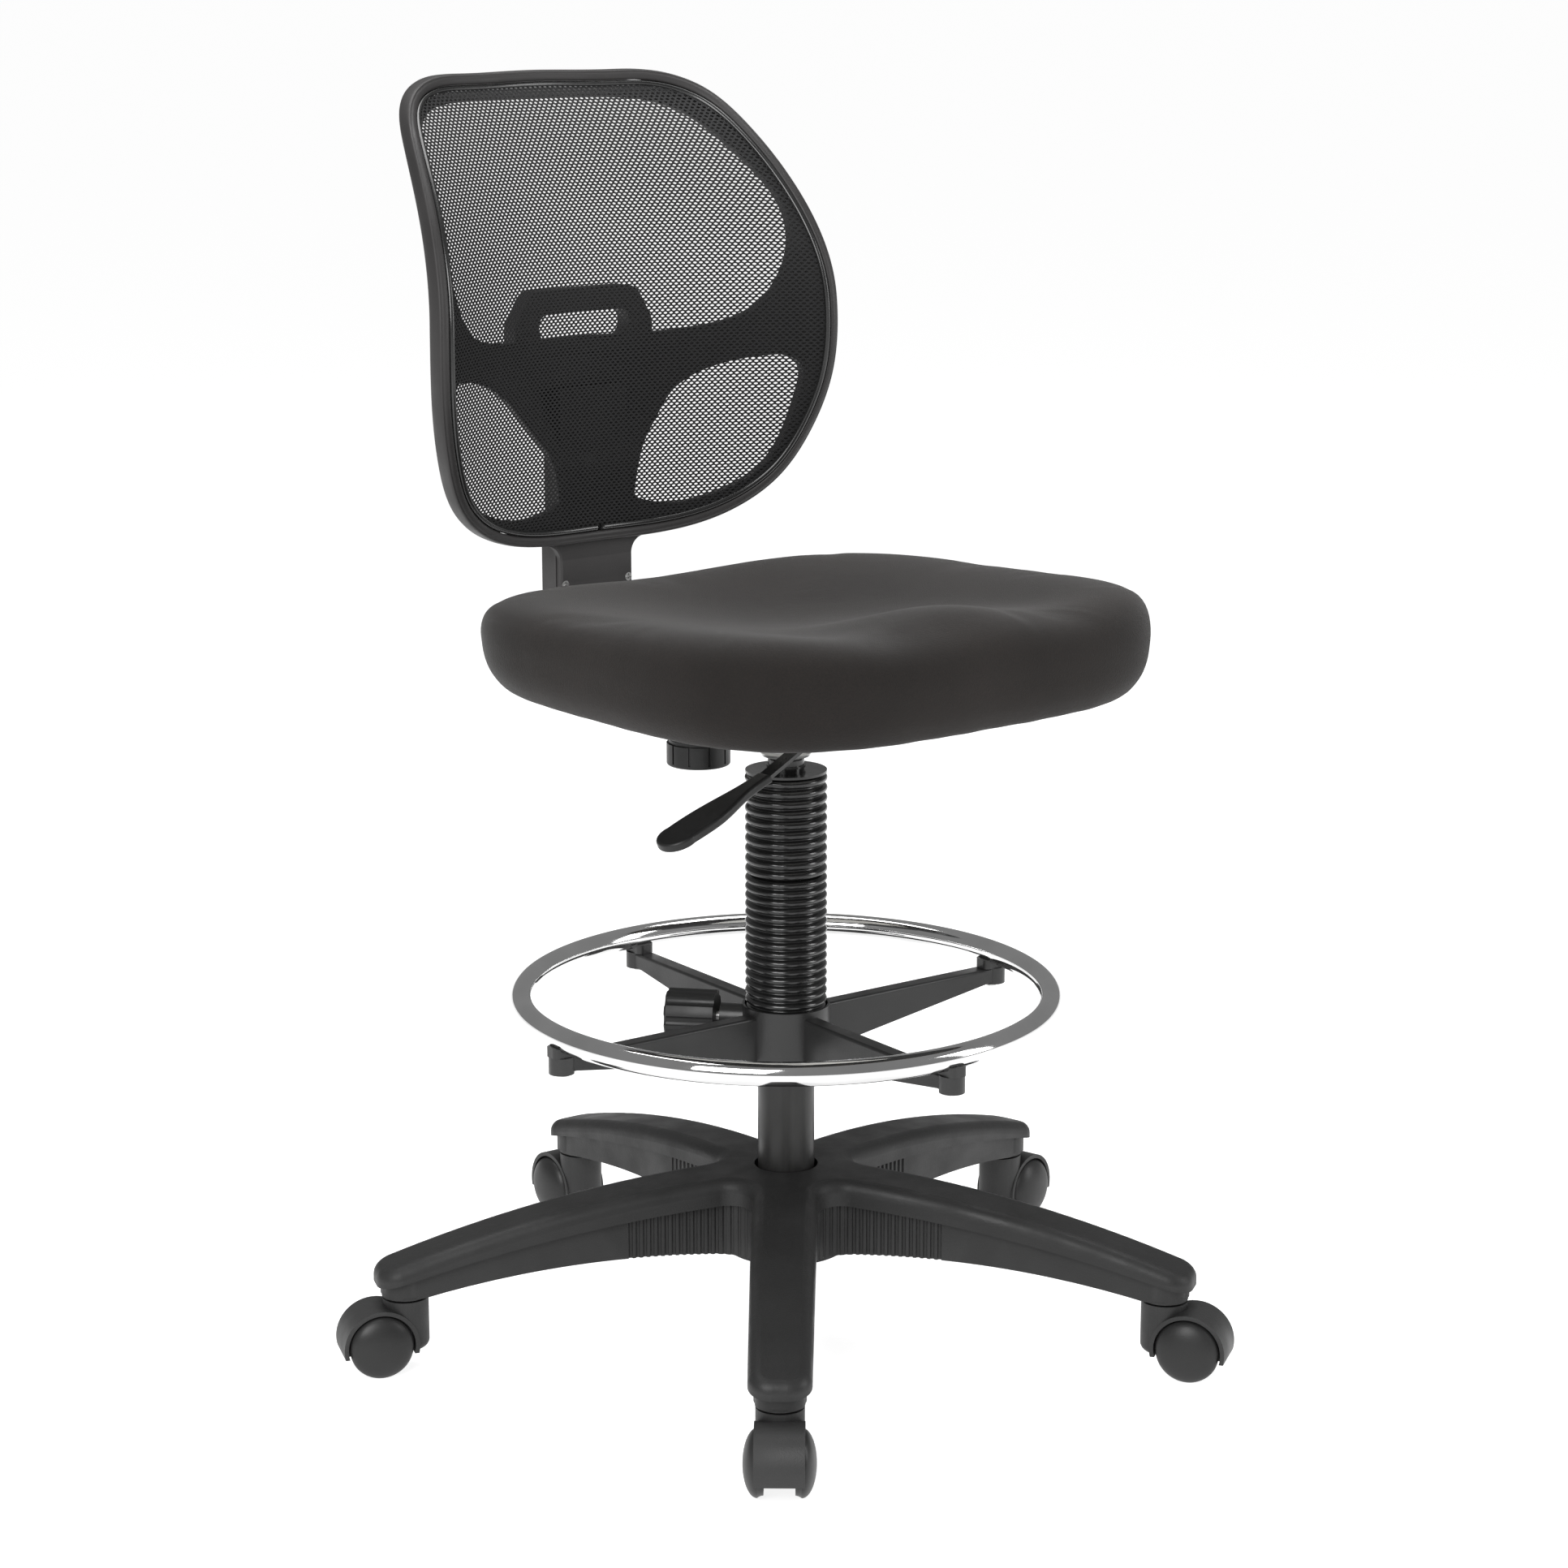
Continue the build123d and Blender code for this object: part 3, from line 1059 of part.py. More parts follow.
with BuildPart() as cover_screws:
    with BuildSketch(Plane.XZ.offset(-UPRIGHT_FRONT)):
        with Locations(*screw_spots):
            Circle(SCREW_HEAD_RADIUS)
    extrude(amount=-SCREW_HEAD)
    with BuildSketch(Plane.XZ.offset(-UPRIGHT_FRONT)):
        with Locations(*screw_spots):
            Circle(SCREW_RADIUS)
    extrude(amount=-SCREW_LENGTH)
    with BuildSketch(Plane.XZ.offset(-UPRIGHT_FRONT)):
        with Locations(*screw_spots):
            Rectangle(5.2, 1)
            Rectangle(1, 5.2)
    extrude(amount=-1.6, mode=Mode.SUBTRACT)
save(cover_screws, "cover_screws")
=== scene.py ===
import json
from math import cos, pi, radians, sin

import bmesh
import bpy
import numpy as np
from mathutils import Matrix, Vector


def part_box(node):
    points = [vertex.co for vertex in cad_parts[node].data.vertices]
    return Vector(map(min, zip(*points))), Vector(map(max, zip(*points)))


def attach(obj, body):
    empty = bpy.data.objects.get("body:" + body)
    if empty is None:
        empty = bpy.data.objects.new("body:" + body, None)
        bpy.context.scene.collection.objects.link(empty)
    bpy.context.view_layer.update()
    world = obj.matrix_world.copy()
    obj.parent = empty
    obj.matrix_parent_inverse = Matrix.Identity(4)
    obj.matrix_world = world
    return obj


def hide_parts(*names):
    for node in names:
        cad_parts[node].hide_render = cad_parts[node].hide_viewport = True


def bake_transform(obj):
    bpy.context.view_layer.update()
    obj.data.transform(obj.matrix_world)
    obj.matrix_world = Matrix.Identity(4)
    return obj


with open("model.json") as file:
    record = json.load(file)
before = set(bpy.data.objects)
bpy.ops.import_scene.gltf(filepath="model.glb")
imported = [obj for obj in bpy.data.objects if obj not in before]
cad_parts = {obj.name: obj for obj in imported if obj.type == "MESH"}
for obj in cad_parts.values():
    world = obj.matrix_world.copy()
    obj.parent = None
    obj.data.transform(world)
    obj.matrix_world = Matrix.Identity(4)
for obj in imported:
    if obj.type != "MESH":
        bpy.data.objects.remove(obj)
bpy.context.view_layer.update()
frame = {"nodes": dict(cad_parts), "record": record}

SCENE = bpy.context.scene
MM = 0.001
WHITE = (1, 1, 1, 1)
SLOT_OF = {entry["node"]: entry["material_slot"] for entry in frame["record"]["subparts"]}


# ---------------------------------------------------------------- camera, floor and lights

def make_camera():
    """Chest height, in front of the sitter's right knee, looking slightly down."""
    data = bpy.data.cameras.new("camera")
    data.sensor_width = 36
    data.lens = 84.4
    data.shift_x = -0.0012
    camera = bpy.data.objects.new("camera", data)
    SCENE.collection.objects.link(camera)
    camera.location = (-1.951, -2.409, 1.224)
    camera.rotation_euler = (radians(90 - 13.2), 0, radians(-39))
    SCENE.camera = camera


def add_light(name, place, target, size, power):
    """A rectangular soft light that faces its target."""
    data = bpy.data.lights.new(name, "AREA")
    data.shape = "RECTANGLE"
    data.size, data.size_y = size
    data.energy = power
    light = bpy.data.objects.new(name, data)
    SCENE.collection.objects.link(light)
    light.location = place
    light.rotation_euler = (Vector(target) - Vector(place)).to_track_quat("-Z", "Y").to_euler()


def make_studio():
    """White sweep with one large soft light from the left, a fill from the right and one overhead."""
    world = bpy.data.worlds.new("studio")
    SCENE.world = world
    world.use_nodes = True
    background = world.node_tree.nodes["Background"]
    background.inputs["Color"].default_value = WHITE
    background.inputs["Strength"].default_value = 0.24
    reach = 150
    floor_mesh = bpy.data.meshes.new("floor")
    corners = [(-reach, -reach, 0), (reach, -reach, 0), (reach, reach, 0), (-reach, reach, 0)]
    floor_mesh.from_pydata(corners, [], [(0, 1, 2, 3)])
    floor = bpy.data.objects.new("floor", floor_mesh)
    SCENE.collection.objects.link(floor)
    floor_material = bpy.data.materials.new("floor_white")
    floor_material.use_nodes = True
    shader = floor_material.node_tree.nodes["Principled BSDF"]
    shader.inputs["Base Color"].default_value = (0.5, 0.5, 0.5, 1)
    shader.inputs["Roughness"].default_value = 1
    shader.inputs["Specular IOR Level"].default_value = 0
    shader.inputs["Emission Color"].default_value = WHITE
    shader.inputs["Emission Strength"].default_value = 0.86
    floor_mesh.materials.append(floor_material)
    add_light("key", (-2.6, -1.4, 2.3), (0, 0, 0.6), (1.8, 2.2), 110)
    add_light("fill", (2.2, -2.4, 1.7), (0, 0, 0.6), (0.9, 2.2), 45)
    add_light("top", (0.3, 0.6, 3.2), (0, 0, 0.4), (2.4, 1.6), 75)
    SCENE.view_settings.view_transform = "Standard"


make_camera()
make_studio()


# ---------------------------------------------------------------- materials

MIX_COLORS = (6, 7)     # the two colour inputs of a Mix node
MIX_RESULT = 2


class Shader:
    """A Principled material being wired up, with coordinates in metres."""

    def __init__(self, name):
        self.material = bpy.data.materials.new(name)
        self.material.use_nodes = True
        self.tree = self.material.node_tree
        self.principled = self.tree.nodes["Principled BSDF"]
        self.place = self.tree.nodes.new("ShaderNodeTexCoord").outputs["Object"]

    def node(self, kind, **settings):
        made = self.tree.nodes.new(kind)
        for key, value in settings.items():
            setattr(made, key, value)
        return made

    def link(self, output, target):
        self.tree.links.new(output, target)

    def set(self, **values):
        names = {"metallic": "Metallic", "specular": "Specular IOR Level", "coat": "Coat Weight",
                 "coat_roughness": "Coat Roughness", "sheen": "Sheen Weight",
                 "sheen_roughness": "Sheen Roughness"}
        for key, value in values.items():
            self.principled.inputs[names[key]].default_value = value

    def stretched(self, scale):
        mapping = self.node("ShaderNodeMapping")
        mapping.inputs["Scale"].default_value = scale
        self.link(self.place, mapping.inputs["Vector"])
        return mapping.outputs["Vector"]

    def noise(self, scale, detail=3, place=None):
        noise = self.node("ShaderNodeTexNoise")
        noise.inputs["Scale"].default_value = scale
        noise.inputs["Detail"].default_value = detail
        self.link(place or self.place, noise.inputs["Vector"])
        return noise.outputs["Fac"]

    def spread(self, factor, low, high, start=0.3, stop=0.7):
        """Map a factor to a range of numbers."""
        ranged = self.node("ShaderNodeMapRange")
        for name, value in (("From Min", start), ("From Max", stop), ("To Min", low), ("To Max", high)):
            ranged.inputs[name].default_value = value
        self.link(factor, ranged.inputs["Value"])
        return ranged.outputs["Result"]

    def tint(self, factor, dark, light, start=0.3, stop=0.7):
        """Colour the surface between two colours."""
        ramp = self.node("ShaderNodeValToRGB")
        ramp.color_ramp.elements[0].position = start
        ramp.color_ramp.elements[1].position = stop
        ramp.color_ramp.elements[0].color = (*dark, 1)
        ramp.color_ramp.elements[1].color = (*light, 1)
        self.link(factor, ramp.inputs["Fac"])
        return ramp.outputs["Color"]

    def worn(self, color, edge_color, amount=0.6):
        """Lighten the convex edges, where hands and shoes rub."""
        edge = self.spread(self.node("ShaderNodeNewGeometry").outputs["Pointiness"], 0, amount, 0.52, 0.62)
        mix = self.node("ShaderNodeMix", data_type="RGBA")
        self.link(edge, mix.inputs["Factor"])
        first, second = MIX_COLORS
        self.link(color, mix.inputs[first])
        mix.inputs[second].default_value = (*edge_color, 1)
        return mix.outputs[MIX_RESULT]

    def bump(self, height, distance, strength=1, below=None):
        bump = self.node("ShaderNodeBump")
        bump.inputs["Distance"].default_value = distance
        bump.inputs["Strength"].default_value = strength
        self.link(height, bump.inputs["Height"])
        if below:
            self.link(below, bump.inputs["Normal"])
        return bump.outputs["Normal"]

    def finish(self, color=None, roughness=None, normal=None):
        for output, name in ((color, "Base Color"), (roughness, "Roughness"), (normal, "Normal")):
            if output:
                self.link(output, self.principled.inputs[name])
        return self.material


def moulded(name, shade, warm=1.0, roughness=(0.42, 0.6), grain=850, depth=0.00012, coat=0.0):
    """Moulded black plastic with a pebbled grain, rubbed paler on its edges."""
    s = Shader(name)
    dark = (shade * 0.85 * warm, shade * 0.85, shade * 0.85)
    light = (shade * 1.2 * warm, shade * 1.2, shade * 1.2)
    rubbed = tuple(2.2 * c for c in light)
    color = s.worn(s.tint(s.noise(9, 4), dark, light), rubbed, 0.35)
    pebbles = s.node("ShaderNodeTexVoronoi", feature="SMOOTH_F1")
    pebbles.inputs["Scale"].default_value = grain
    s.link(s.place, pebbles.inputs["Vector"])
    normal = s.bump(pebbles.outputs["Distance"], depth, 0.8, s.bump(s.noise(grain * 0.4), depth * 0.6, 0.6))
    s.set(specular=0.3, coat=coat, coat_roughness=0.25)
    return s.finish(color, s.spread(s.noise(30), *roughness), normal)


def glossy(name, shade, roughness=(0.16, 0.3), coat=0.3):
    """Smooth glossy plastic with faint handling marks."""
    s = Shader(name)
    color = s.tint(s.noise(14, 4), (shade * 0.8,) * 3, (shade * 1.25,) * 3)
    s.set(specular=0.4, coat=coat, coat_roughness=0.12)
    return s.finish(color, s.spread(s.noise(55, 5), *roughness), s.bump(s.noise(90), 0.00001, 0.3))


def painted(name, dark, light, roughness=(0.3, 0.45), peel=420):
    """Powder paint: fine orange peel, chipped pale on sharp edges."""
    s = Shader(name)
    chipped = tuple(min(0.7, 1.6 * c + 0.03) for c in light)
    color = s.worn(s.tint(s.noise(12, 4), dark, light), chipped, 0.4)
    s.set(specular=0.35)
    return s.finish(color, s.spread(s.noise(40, 4), *roughness), s.bump(s.noise(peel), 0.00005, 0.7))


def metal(name, shade, roughness=(0.18, 0.34), streak=(4, 4, 900)):
    """Bare or plated steel with fine turning marks."""
    s = Shader(name)
    s.set(metallic=1)
    marks = s.noise(1, 5, s.stretched(streak))
    color = s.tint(marks, (shade * 0.88,) * 3, (shade * 1.05, shade * 1.05, shade * 1.03))
    return s.finish(color, s.spread(marks, *roughness), s.bump(marks, 0.00002, 0.5))


def chrome(name):
    """Bright plating, a little wavy."""
    s = Shader(name)
    s.set(metallic=1)
    color = s.tint(s.noise(20, 4), (0.7, 0.7, 0.7), (0.8, 0.8, 0.8))
    return s.finish(color, s.spread(s.noise(60, 5), 0.04, 0.1), s.bump(s.noise(5, 1), 0.00002, 0.2))


def upholstery(name):
    """Tight black weave, brushed a little, with faint paler fibres."""
    s = Shader(name)
    s.set(sheen=0.12, sheen_roughness=0.4, specular=0.15)
    weave = s.node("ShaderNodeTexVoronoi")
    weave.inputs["Scale"].default_value = 1100
    s.link(s.place, weave.inputs["Vector"])
    fibres = s.noise(650, 3)
    patches = s.tint(s.noise(7, 5), (0.0125, 0.011, 0.0103), (0.019, 0.0166, 0.0155))
    mix = s.node("ShaderNodeMix", data_type="RGBA", blend_type="MULTIPLY")
    mix.inputs["Factor"].default_value = 0.6
    first, second = MIX_COLORS
    s.link(patches, mix.inputs[first])
    s.link(s.tint(fibres, (0.55, 0.55, 0.55), (1.25, 1.2, 1.15)), mix.inputs[second])
    soft = s.bump(fibres, 0.00025, 0.7, s.bump(s.noise(26, 3), 0.0012, 0.25))
    normal = s.bump(weave.outputs["Distance"], 0.00025, 0.8, soft)
    return s.finish(mix.outputs[MIX_RESULT], s.spread(fibres, 0.78, 0.95), normal)


def knitted(name):
    """Smooth synthetic yarn of the back's mesh."""
    s = Shader(name)
    s.set(specular=0.2)
    yarn = s.noise(1, 3, s.stretched((500, 500, 1500)))
    color = s.tint(yarn, (0.009, 0.009, 0.0095), (0.018, 0.018, 0.0185))
    return s.finish(color, s.spread(yarn, 0.5, 0.75), s.bump(yarn, 0.0002, 0.7))


def plywood(name):
    """Pale wood with its grain running across the seat."""
    s = Shader(name)
    grain = s.noise(1, 5, s.stretched((18, 260, 600)))
    color = s.tint(grain, (0.33, 0.22, 0.12), (0.6, 0.45, 0.28))
    return s.finish(color, s.spread(grain, 0.55, 0.8), s.bump(grain, 0.0002, 0.6))


MATERIALS = {
    "nylon": moulded("nylon", 0.019),
    "wheel_nylon": moulded("wheel_nylon", 0.018, 1.0, (0.36, 0.5), 1100, 0.00006),
    "tube_paint": painted("tube_paint", (0.009, 0.009, 0.009), (0.014, 0.0136, 0.013)),
    "bush_plastic": moulded("bush_plastic", 0.045, 1.0, (0.4, 0.55), 900, 0.00005),
    "bright_steel": metal("bright_steel", 0.66),
    "zinc_steel": metal("zinc_steel", 0.55, (0.28, 0.45), (60, 60, 500)),
    "bellows_plastic": glossy("bellows_plastic", 0.006, (0.2, 0.28)),
    "ring_chrome": chrome("ring_chrome"),
    "spider_plastic": moulded("spider_plastic", 0.015, 1.0, (0.3, 0.44), 700, 0.00006, 0.1),
    "knob_plastic": moulded("knob_plastic", 0.012, 1.0, (0.32, 0.5), 900, 0.00005),
    "pan_paint": painted("pan_paint", (0.5, 0.49, 0.46), (0.62, 0.61, 0.57)),
    "lever_paint": painted("lever_paint", (0.01, 0.01, 0.01), (0.016, 0.016, 0.016), (0.25, 0.4)),
    "cover_plastic": moulded("cover_plastic", 0.012, 1.0, (0.6, 0.8), 500, 0.0001),
    "board_wood": plywood("board_wood"),
    "seat_fabric": upholstery("seat_fabric"),
    "carrier_paint": painted("carrier_paint", (0.009, 0.009, 0.0095), (0.014, 0.014, 0.0145)),
    "frame_plastic": moulded("frame_plastic", 0.024, 1.05, (0.42, 0.58), 900, 0.00008),
    "bead_plastic": glossy("bead_plastic", 0.012, (0.2, 0.32)),
    "mesh_fabric": knitted("mesh_fabric"),
}

for node_name, node in frame["nodes"].items():
    for material_slot in node.material_slots:
        material_slot.material = MATERIALS[SLOT_OF[node_name]]


# ---------------------------------------------------------------- mesh helpers

def make_piece(name, points, faces, body, slot, replaced=(), smooth=True):
    """A mesh piece from points in millimetres, riding on a body."""
    mesh = bpy.data.meshes.new(name)
    mesh.from_pydata((np.asarray(points, float) * MM).tolist(), [], [tuple(face) for face in faces])
    mesh.polygons.foreach_set("use_smooth", [smooth] * len(mesh.polygons))
    mesh.update()
    piece = bpy.data.objects.new(name, mesh)
    SCENE.collection.objects.link(piece)
    piece.data.materials.append(MATERIALS[slot])
    if body:
        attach(piece, body)
    if replaced:
        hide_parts(*replaced)
    return piece


def grid_faces(rings, spots, closed_rings):
    """Quads of a grid of rings, each ring closed on itself; the rings may close too."""
    faces = []
    for ring in range(rings if closed_rings else rings - 1):
        for spot in range(spots):
            after = (spot + 1) % spots
            here, there = ring * spots, (ring + 1) % rings * spots
            faces.append((here + spot, here + after, there + after, there + spot))
    return faces


def lathe(section, steps):
    """Revolve a closed section of (radius, height) about the column's axis."""
    points = []
    for step in range(steps):
        angle = 2 * pi * step / steps
        points += [(radius * cos(angle), radius * sin(angle), height) for radius, height in section]
    return points, grid_faces(steps, len(section), True)


# ---------------------------------------------------------------- back

BACK_FACE_Y = 269
BACK_HALF = 207
BACK_FOOT, BACK_TOP = 688, 1081
BEAD_RADIUS = 2.7
LEAN_START = 890
RIGHT_HALF = [
    (0, BACK_FOOT), (72, 690), (130, 704), (168, 731), (191, 772), (204, 820), (207, 865),
    (203, 925), (191, 985), (176, 1032), (158, 1062), (128, 1077), (78, 1080), (0, BACK_TOP),
]


def back_y(x, z):
    """Front of the mesh: wrapped round the sitter, its top leaning back."""
    lean = 0.00245 * np.maximum(0, z - LEAN_START) ** 2
    wrap = 74 - 0.00066 * (z - 870) ** 2
    return BACK_FACE_Y + lean - wrap * (x / BACK_HALF) ** 2


def closed_spline(corners, count):
    """A smooth closed curve through the corners, as count points with their directions."""
    corners = np.array(corners, float)
    total = len(corners)
    chords = np.linalg.norm(np.roll(corners, -1, 0) - corners, axis=1)
    knots = np.concatenate([[0], np.cumsum(chords)])
    matrix, target = np.zeros((total, total)), np.zeros((total, 2))
    for i in range(total):
        before, after = chords[i - 1], chords[i]
        matrix[i, i - 1] += after
        matrix[i, i] += 2 * (before + after)
        matrix[i, (i + 1) % total] += before
        ahead = (corners[(i + 1) % total] - corners[i]) / after
        behind = (corners[i] - corners[i - 1]) / before
        target[i] = 3 * (after * behind + before * ahead)
    slopes = np.linalg.solve(matrix, target)
    places, runs = [], []
    for distance in np.linspace(0, knots[-1], count, endpoint=False):
        i = min(np.searchsorted(knots, distance, side="right") - 1, total - 1)
        length = chords[i]
        t = (distance - knots[i]) / length
        start, stop = corners[i], corners[(i + 1) % total]
        out, back = slopes[i] * length, slopes[(i + 1) % total] * length
        places.append((2 * t**3 - 3 * t**2 + 1) * start + (t**3 - 2 * t**2 + t) * out
                      + (3 * t**2 - 2 * t**3) * stop + (t**3 - t**2) * back)
        run = ((6 * t**2 - 6 * t) * start + (3 * t**2 - 4 * t + 1) * out
               + (6 * t - 6 * t**2) * stop + (3 * t**2 - 2 * t) * back)
        runs.append(run / np.linalg.norm(run))
    return np.array(places), np.array(runs)


OUTLINE = RIGHT_HALF + [(-x, z) for x, z in reversed(RIGHT_HALF[1:-1])]
BEAD_POINTS = 320
BEAD_LINE, BEAD_RUN = closed_spline(OUTLINE, BEAD_POINTS)


def along_bead(section):
    """Carry a section of (depth behind the mesh, distance outside the bead's line) round the back."""
    points = []
    for (x, z), run in zip(BEAD_LINE, BEAD_RUN):
        y = back_y(x, z)
        points += [(x + out * run[1], y + depth, z - out * run[0]) for depth, out in section]
    return points


def make_rim():
    """The back's moulded frame: side wall, fine ridge, front band and the groove that holds the bead."""
    section = [
        (1.5, 2.9), (-0.6, 3.0), (-1.7, 3.6), (-2.3, 4.8), (-2.5, 6.4), (-2.3, 8.0), (-1.8, 9.2),
        (-1.1, 9.9), (-0.9, 10.4), (-1.0, 11.0), (-0.5, 11.7), (0.6, 12.2), (2.5, 12.5), (9, 12.6),
        (14, 12.2), (16.6, 11.3), (17.5, 9.6), (17.5, 5.5), (17.0, 3.8), (15.5, 2.9),
    ]
    points = along_bead(section)
    make_piece("back_rim_moulding", points, grid_faces(len(BEAD_LINE), len(section), True), "back",
               "frame_plastic", ["back_rim"])


def make_bead():
    """Round bead pressed in after the mesh, its two ends meeting at the middle of the bottom."""
    sides = 14
    turns = [2 * pi * side / sides for side in range(sides)]
    section = [(-BEAD_RADIUS * cos(turn), BEAD_RADIUS * sin(turn)) for turn in turns]
    points = along_bead(section)
    rings = len(BEAD_LINE)
    first, last = np.array(points[:sides]), np.array(points[-sides:])
    points += [tuple(p) for p in first + 0.93 * (last - first)]
    faces = grid_faces(rings, sides, False)
    faces.append(tuple(range(sides)))
    end = (rings - 1) * sides
    for spot in range(sides):
        after = (spot + 1) % sides
        faces.append((end + spot, end + after, end + sides + after, end + sides + spot))
    make_piece("back_bead_ring", points, faces, "back", "bead_plastic", ["back_bead"])


def inside_outline(x, z):
    """Whether points lie inside the bead's line."""
    inside = np.zeros(x.shape, bool)
    following = np.roll(BEAD_LINE, -1, 0)
    for (ax, az), (bx, bz) in zip(BEAD_LINE, following):
        if az != bz:
            crosses = ((az > z) != (bz > z)) & (x < (bx - ax) * (z - az) / (bz - az) + ax)
            inside ^= crosses
    return inside


def make_mesh():
    """The knitted mesh: staggered oval holes, each cell a ring of six quads, given the yarn's thickness."""
    pitch, row, thickness = 5.4, 2.6, 0.7
    outer = [(-0.5, -0.5), (0, -0.5), (0.5, -0.5), (0.5, 0.5), (0, 0.5), (-0.5, 0.5)]
    inner = [(-1.65, -0.45), (0, -1.05), (1.65, -0.45), (1.65, 0.45), (0, 1.05), (-1.65, 0.45)]
    columns, rows = np.meshgrid(np.arange(-40, 41), np.arange(0, 156))
    x = (columns + 0.5 * (rows % 2)) * pitch
    z = BACK_FOOT - 2 + rows * row
    keep = inside_outline(x, z)
    x, z = x[keep], z[keep]
    ring = [(x + px * pitch, z + pz * row) for px, pz in outer] + [(x + dx, z + dz) for dx, dz in inner]
    flat_x = np.stack([p[0] for p in ring], 1).ravel()
    flat_z = np.stack([p[1] for p in ring], 1).ravel()
    keys = np.round(np.stack([flat_x, flat_z], 1), 2)
    unique, index = np.unique(keys, axis=0, return_inverse=True)
    index = index.reshape(-1, 12)
    faces = []
    for k in range(6):
        after = (k + 1) % 6
        faces.append(np.stack([index[:, k], index[:, after], index[:, 6 + after], index[:, 6 + k]], 1))
    faces = np.concatenate(faces)
    front = np.stack([unique[:, 0], back_y(unique[:, 0], unique[:, 1]), unique[:, 1]], 1)
    piece = make_piece("back_mesh_knit", front, faces, "back", "mesh_fabric", ["back_mesh"], smooth=False)
    thick = piece.modifiers.new("yarn", "SOLIDIFY")
    thick.thickness = thickness * MM
    thick.offset = -1


make_rim()
make_bead()
make_mesh()


# ---------------------------------------------------------------- seat cushion

SEAT_HALF_X, SEAT_HALF_Y, SEAT_CENTRE_Y, SEAT_POWER = 252, 246, -38, 3.5
SEAT_FOOT = 603         # top of the board
SEAT_CREST = 671        # top of the cushion before it is dished
SIDE_TOP = 630          # above this the cushion's side rolls in towards its top


def hill(u, v, at_u, at_v, wide_u, wide_v):
    """A rounded bump of height one."""
    return np.exp(-((u - at_u) / wide_u) ** 2 - ((v - at_v) / wide_v) ** 2)


def seat_top(x, y):
    """Height of the cushion's top: dished, raised between the thighs, rolled down at the front."""
    u, v = x / SEAT_HALF_X, (y - SEAT_CENTRE_Y) / SEAT_HALF_Y
    height = SEAT_CREST - 10 * v - 34 * hill(u, v, 0, 0.15, 0.6, 0.62)
    for side in (-1, 1):
        height -= 9 * hill(u, v, side * 0.42, -0.55, 0.24, 0.45)
    height += 8 * hill(u, v, 0, -0.6, 0.2, 0.35)
    return height - 110 * max(0, -v - 0.68) ** 2 * (1 - 0.8 * u**2)


def seat_ring(inset, heights, sides=240):
    """Points round the seat's outline, drawn in by inset; heights gives z for each x and y."""
    points = []
    for side in range(sides):
        angle = 2 * pi * side / sides
        reach = (abs(cos(angle)) ** SEAT_POWER + abs(sin(angle)) ** SEAT_POWER) ** (-1 / SEAT_POWER)
        x = reach * (SEAT_HALF_X - inset) * cos(angle)
        y = SEAT_CENTRE_Y + reach * (SEAT_HALF_Y - inset) * sin(angle)
        points.append((x, y, heights(x, y)))
    return points


def gathered(ring, number):
    """Small folds where the cover is drawn round the board's edge."""
    folds = [sin(0.31 * k) * sin(0.83 * k + number // 3) for k in range(len(ring))]
    return [(x * (1 + fold / 600), y, z + 0.35 * fold) for (x, y, z), fold in zip(ring, folds)]


def make_cushion():
    """Foam seat in a cover that wraps the board and is stapled under it, swelled as stuffed cloth."""
    board_edge, board_top = 21.6, SEAT_FOOT + 0.4
    inside = [(inset, board_top) for inset in (190, 125, 70, 35, board_edge)]
    inside += [(board_edge, 597), (board_edge, 590.9), (27, 590.8), (33, 590.7)]
    hem = [(33, 589.6), (28, 589.1), (23.5, 589.4), (19.5, 591.5), (16, 595), (12.5, 600)]
    side = [(9, 606), (5.7, 613), (2.8, 621), (0.8, SIDE_TOP)]
    crown = [(0, 0.2), (0.6, 0.42), (2.4, 0.62), (5.8, 0.78), (11, 0.9), (19, 0.97)]
    crown += [(inset, 1) for inset in (30, 45, 62, 80, 100, 122, 146, 170, 196, 222)]
    rings = [seat_ring(inset, lambda x, y: z) for inset, z in inside]
    rings += [gathered(seat_ring(inset, lambda x, y: z), number) for number, (inset, z) in enumerate(hem)]
    rings += [seat_ring(inset, lambda x, y: z) for inset, z in side]
    rings += [seat_ring(inset, lambda x, y: SIDE_TOP + share * (seat_top(x, y) - SIDE_TOP))
              for inset, share in crown]
    sides = len(rings[0])
    points = [point for ring in rings for point in ring]
    points += [(0, SEAT_CENTRE_Y, board_top), (0, SEAT_CENTRE_Y, seat_top(0, SEAT_CENTRE_Y))]
    faces = grid_faces(len(rings), sides, False)
    bottom, top = len(points) - 2, len(points) - 1
    last = (len(rings) - 1) * sides
    for k in range(sides):
        after = (k + 1) % sides
        faces.append((after, k, bottom))
        faces.append((last + k, last + after, top))
    piece = make_piece("seat_pad", points, faces, None, "seat_fabric")
    bm = bmesh.new()
    bm.from_mesh(piece.data)
    bmesh.ops.recalc_face_normals(bm, faces=bm.faces)
    bm.to_mesh(piece.data)
    bm.free()
    swell(piece)
    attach(piece, "seat")
    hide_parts("seat_cushion")


def apply_modifiers(piece):
    """Leave the piece's mesh as its modifiers make it."""
    shown = piece.evaluated_get(bpy.context.evaluated_depsgraph_get())
    mesh = bpy.data.meshes.new_from_object(shown)
    piece.modifiers.clear()
    piece.data = mesh


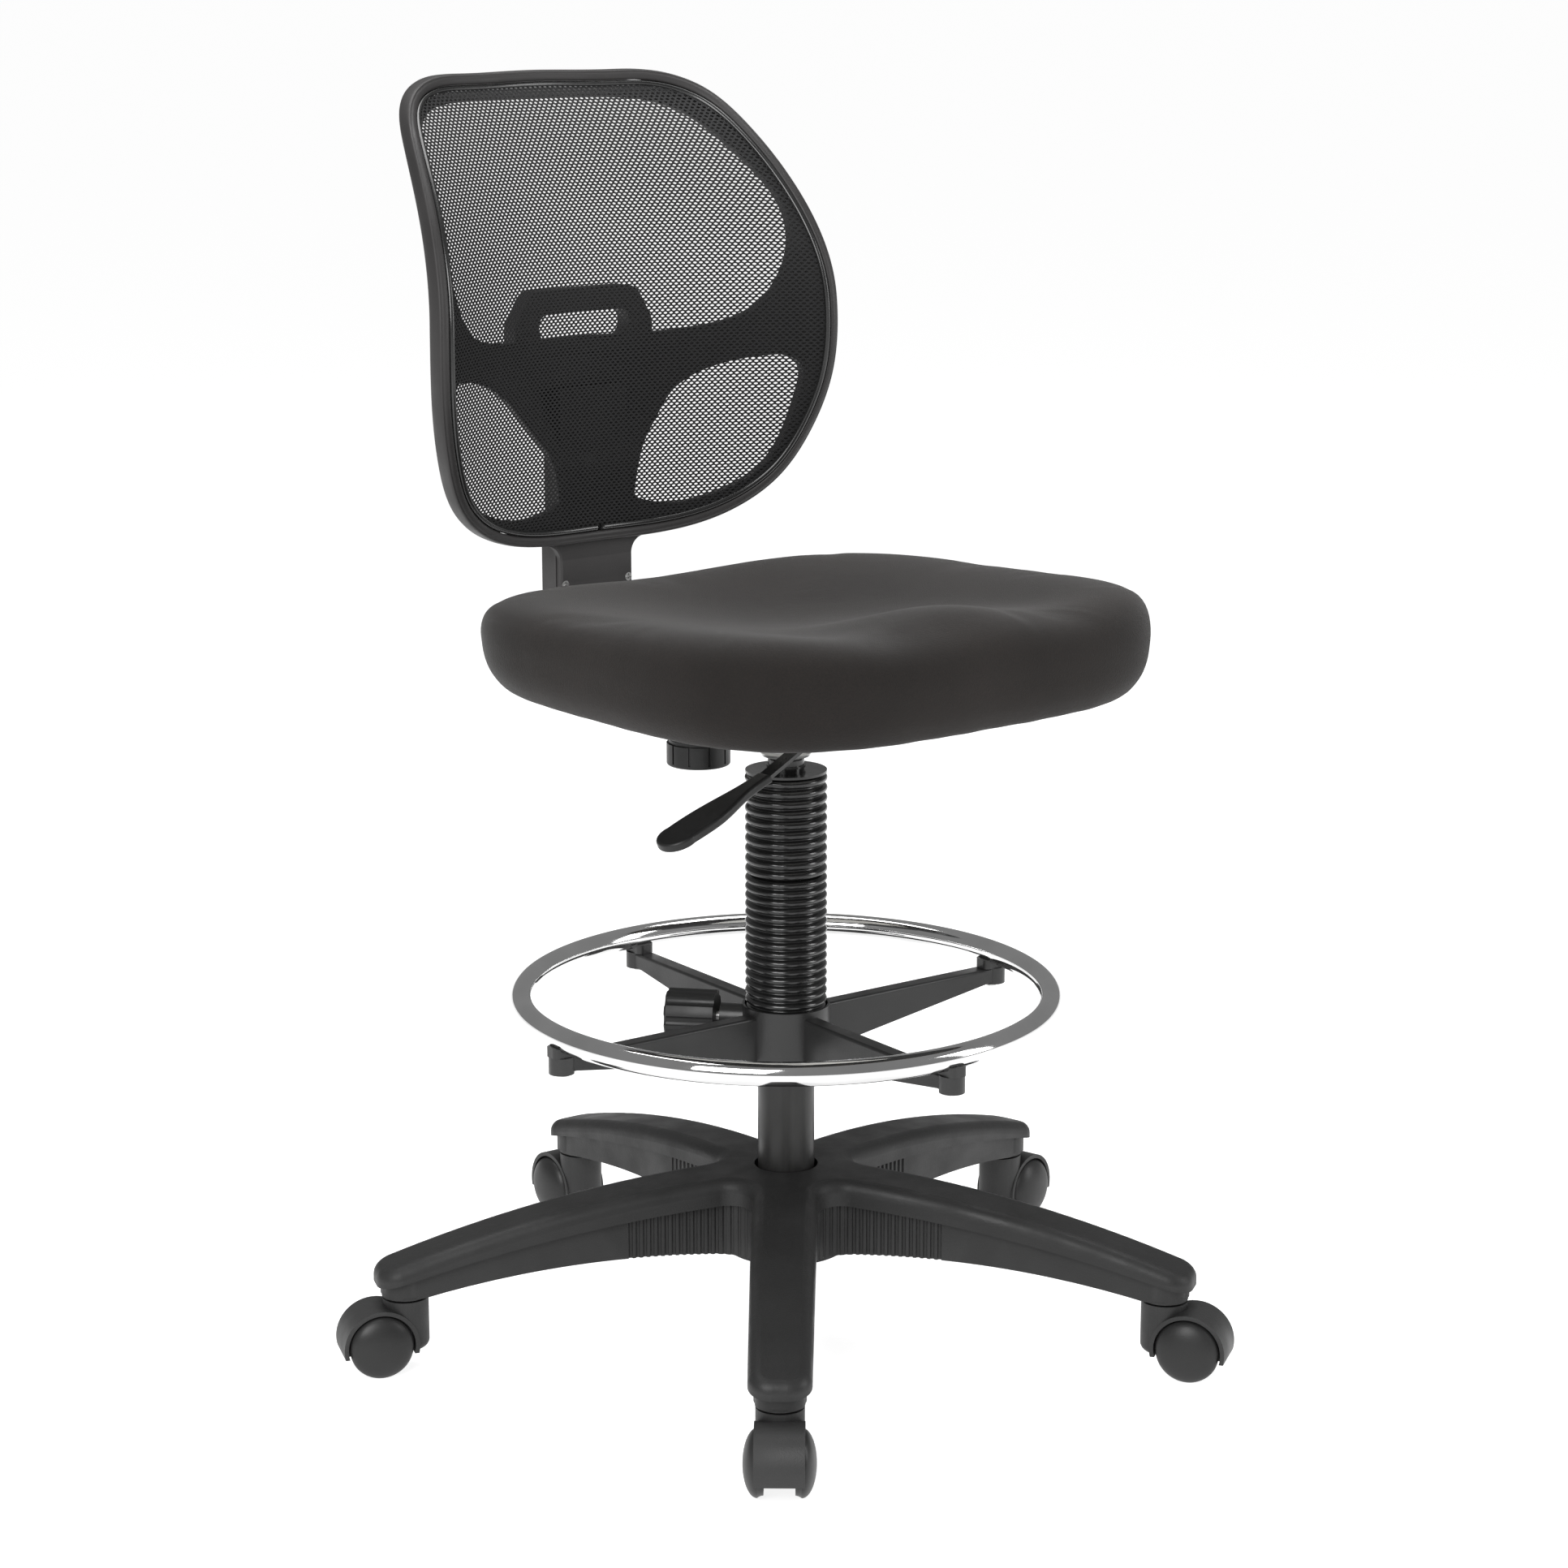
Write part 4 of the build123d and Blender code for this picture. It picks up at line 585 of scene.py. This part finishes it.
def swell(piece):
    """Inflate the cushion as cloth, its hem held where it is stapled and no point moved over 4 mm."""
    steps = 20
    most = 0.004
    held_below, free_above = 606, 630
    start = np.array([vertex.co[:] for vertex in piece.data.vertices])
    cloth = piece.modifiers.new("cloth", "CLOTH")
    cloth.settings.use_pressure = True
    cloth.settings.uniform_pressure_force = 4
    cloth.settings.effector_weights.gravity = 0
    cloth.settings.tension_stiffness = 15
    cloth.settings.compression_stiffness = 15
    cloth.point_cache.frame_start, cloth.point_cache.frame_end = 1, steps
    for step in range(1, steps + 1):
        SCENE.frame_set(step)
    apply_modifiers(piece)
    SCENE.frame_set(1)
    move = np.array([vertex.co[:] for vertex in piece.data.vertices]) - start
    length = np.linalg.norm(move, axis=1, keepdims=True)
    free = np.clip((start[:, 2:] / MM - held_below) / (free_above - held_below), 0, 1)
    ended = start + free * move * np.minimum(1, most / np.maximum(length, 1e-9))
    piece.data.vertices.foreach_set("co", ended.ravel())
    piece.data.update()
    finer = piece.modifiers.new("subdivision", "SUBSURF")
    finer.levels = finer.render_levels = 1
    apply_modifiers(piece)
    piece.data.polygons.foreach_set("use_smooth", [True] * len(piece.data.polygons))


make_cushion()


# ---------------------------------------------------------------- bellows and foot ring

BELLOWS_FOOT, BELLOWS_SPLIT, BELLOWS_TOP = 293, 418, 508
BELLOWS_OUTER, BELLOWS_ROOT, BELLOWS_WALL = 36, 31.5, 1.3


def make_bellows(name, low, high, pleats):
    """One length of bellows with rounded pleats."""
    samples = 10
    outside = []
    for k in range(pleats * samples + 1):
        t = k / samples
        swelling = abs(sin(pi * t)) ** 0.62
        radius = BELLOWS_ROOT + (BELLOWS_OUTER - BELLOWS_ROOT) * swelling
        outside.append((radius, low + (high - low) * t / pleats))
    inner = BELLOWS_ROOT - BELLOWS_WALL
    section = outside + [(inner, high), (inner, low)]
    points, faces = lathe(section, 96)
    piece = make_piece(name, points, faces, None, "bellows_plastic")
    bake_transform(piece)
    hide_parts("bellows")


def make_foot_ring():
    """The chromed tube, as round and as large as the CAD's ring."""
    low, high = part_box("foot_ring")
    tube = (high[2] - low[2]) / 2 / MM
    middle = (high[2] + low[2]) / 2 / MM
    radius = (high[0] - low[0]) / 2 / MM - tube
    sides = 32
    turns = [2 * pi * side / sides for side in range(sides)]
    section = [(radius + tube * cos(turn), middle + tube * sin(turn)) for turn in turns]
    points, faces = lathe(section, 288)
    make_piece("foot_ring_tube", points, faces, "ring", "ring_chrome", ["foot_ring"])


make_bellows("bellows_lower", BELLOWS_FOOT, BELLOWS_SPLIT, 16)
make_bellows("bellows_upper", BELLOWS_SPLIT, BELLOWS_TOP, 10)
make_foot_ring()
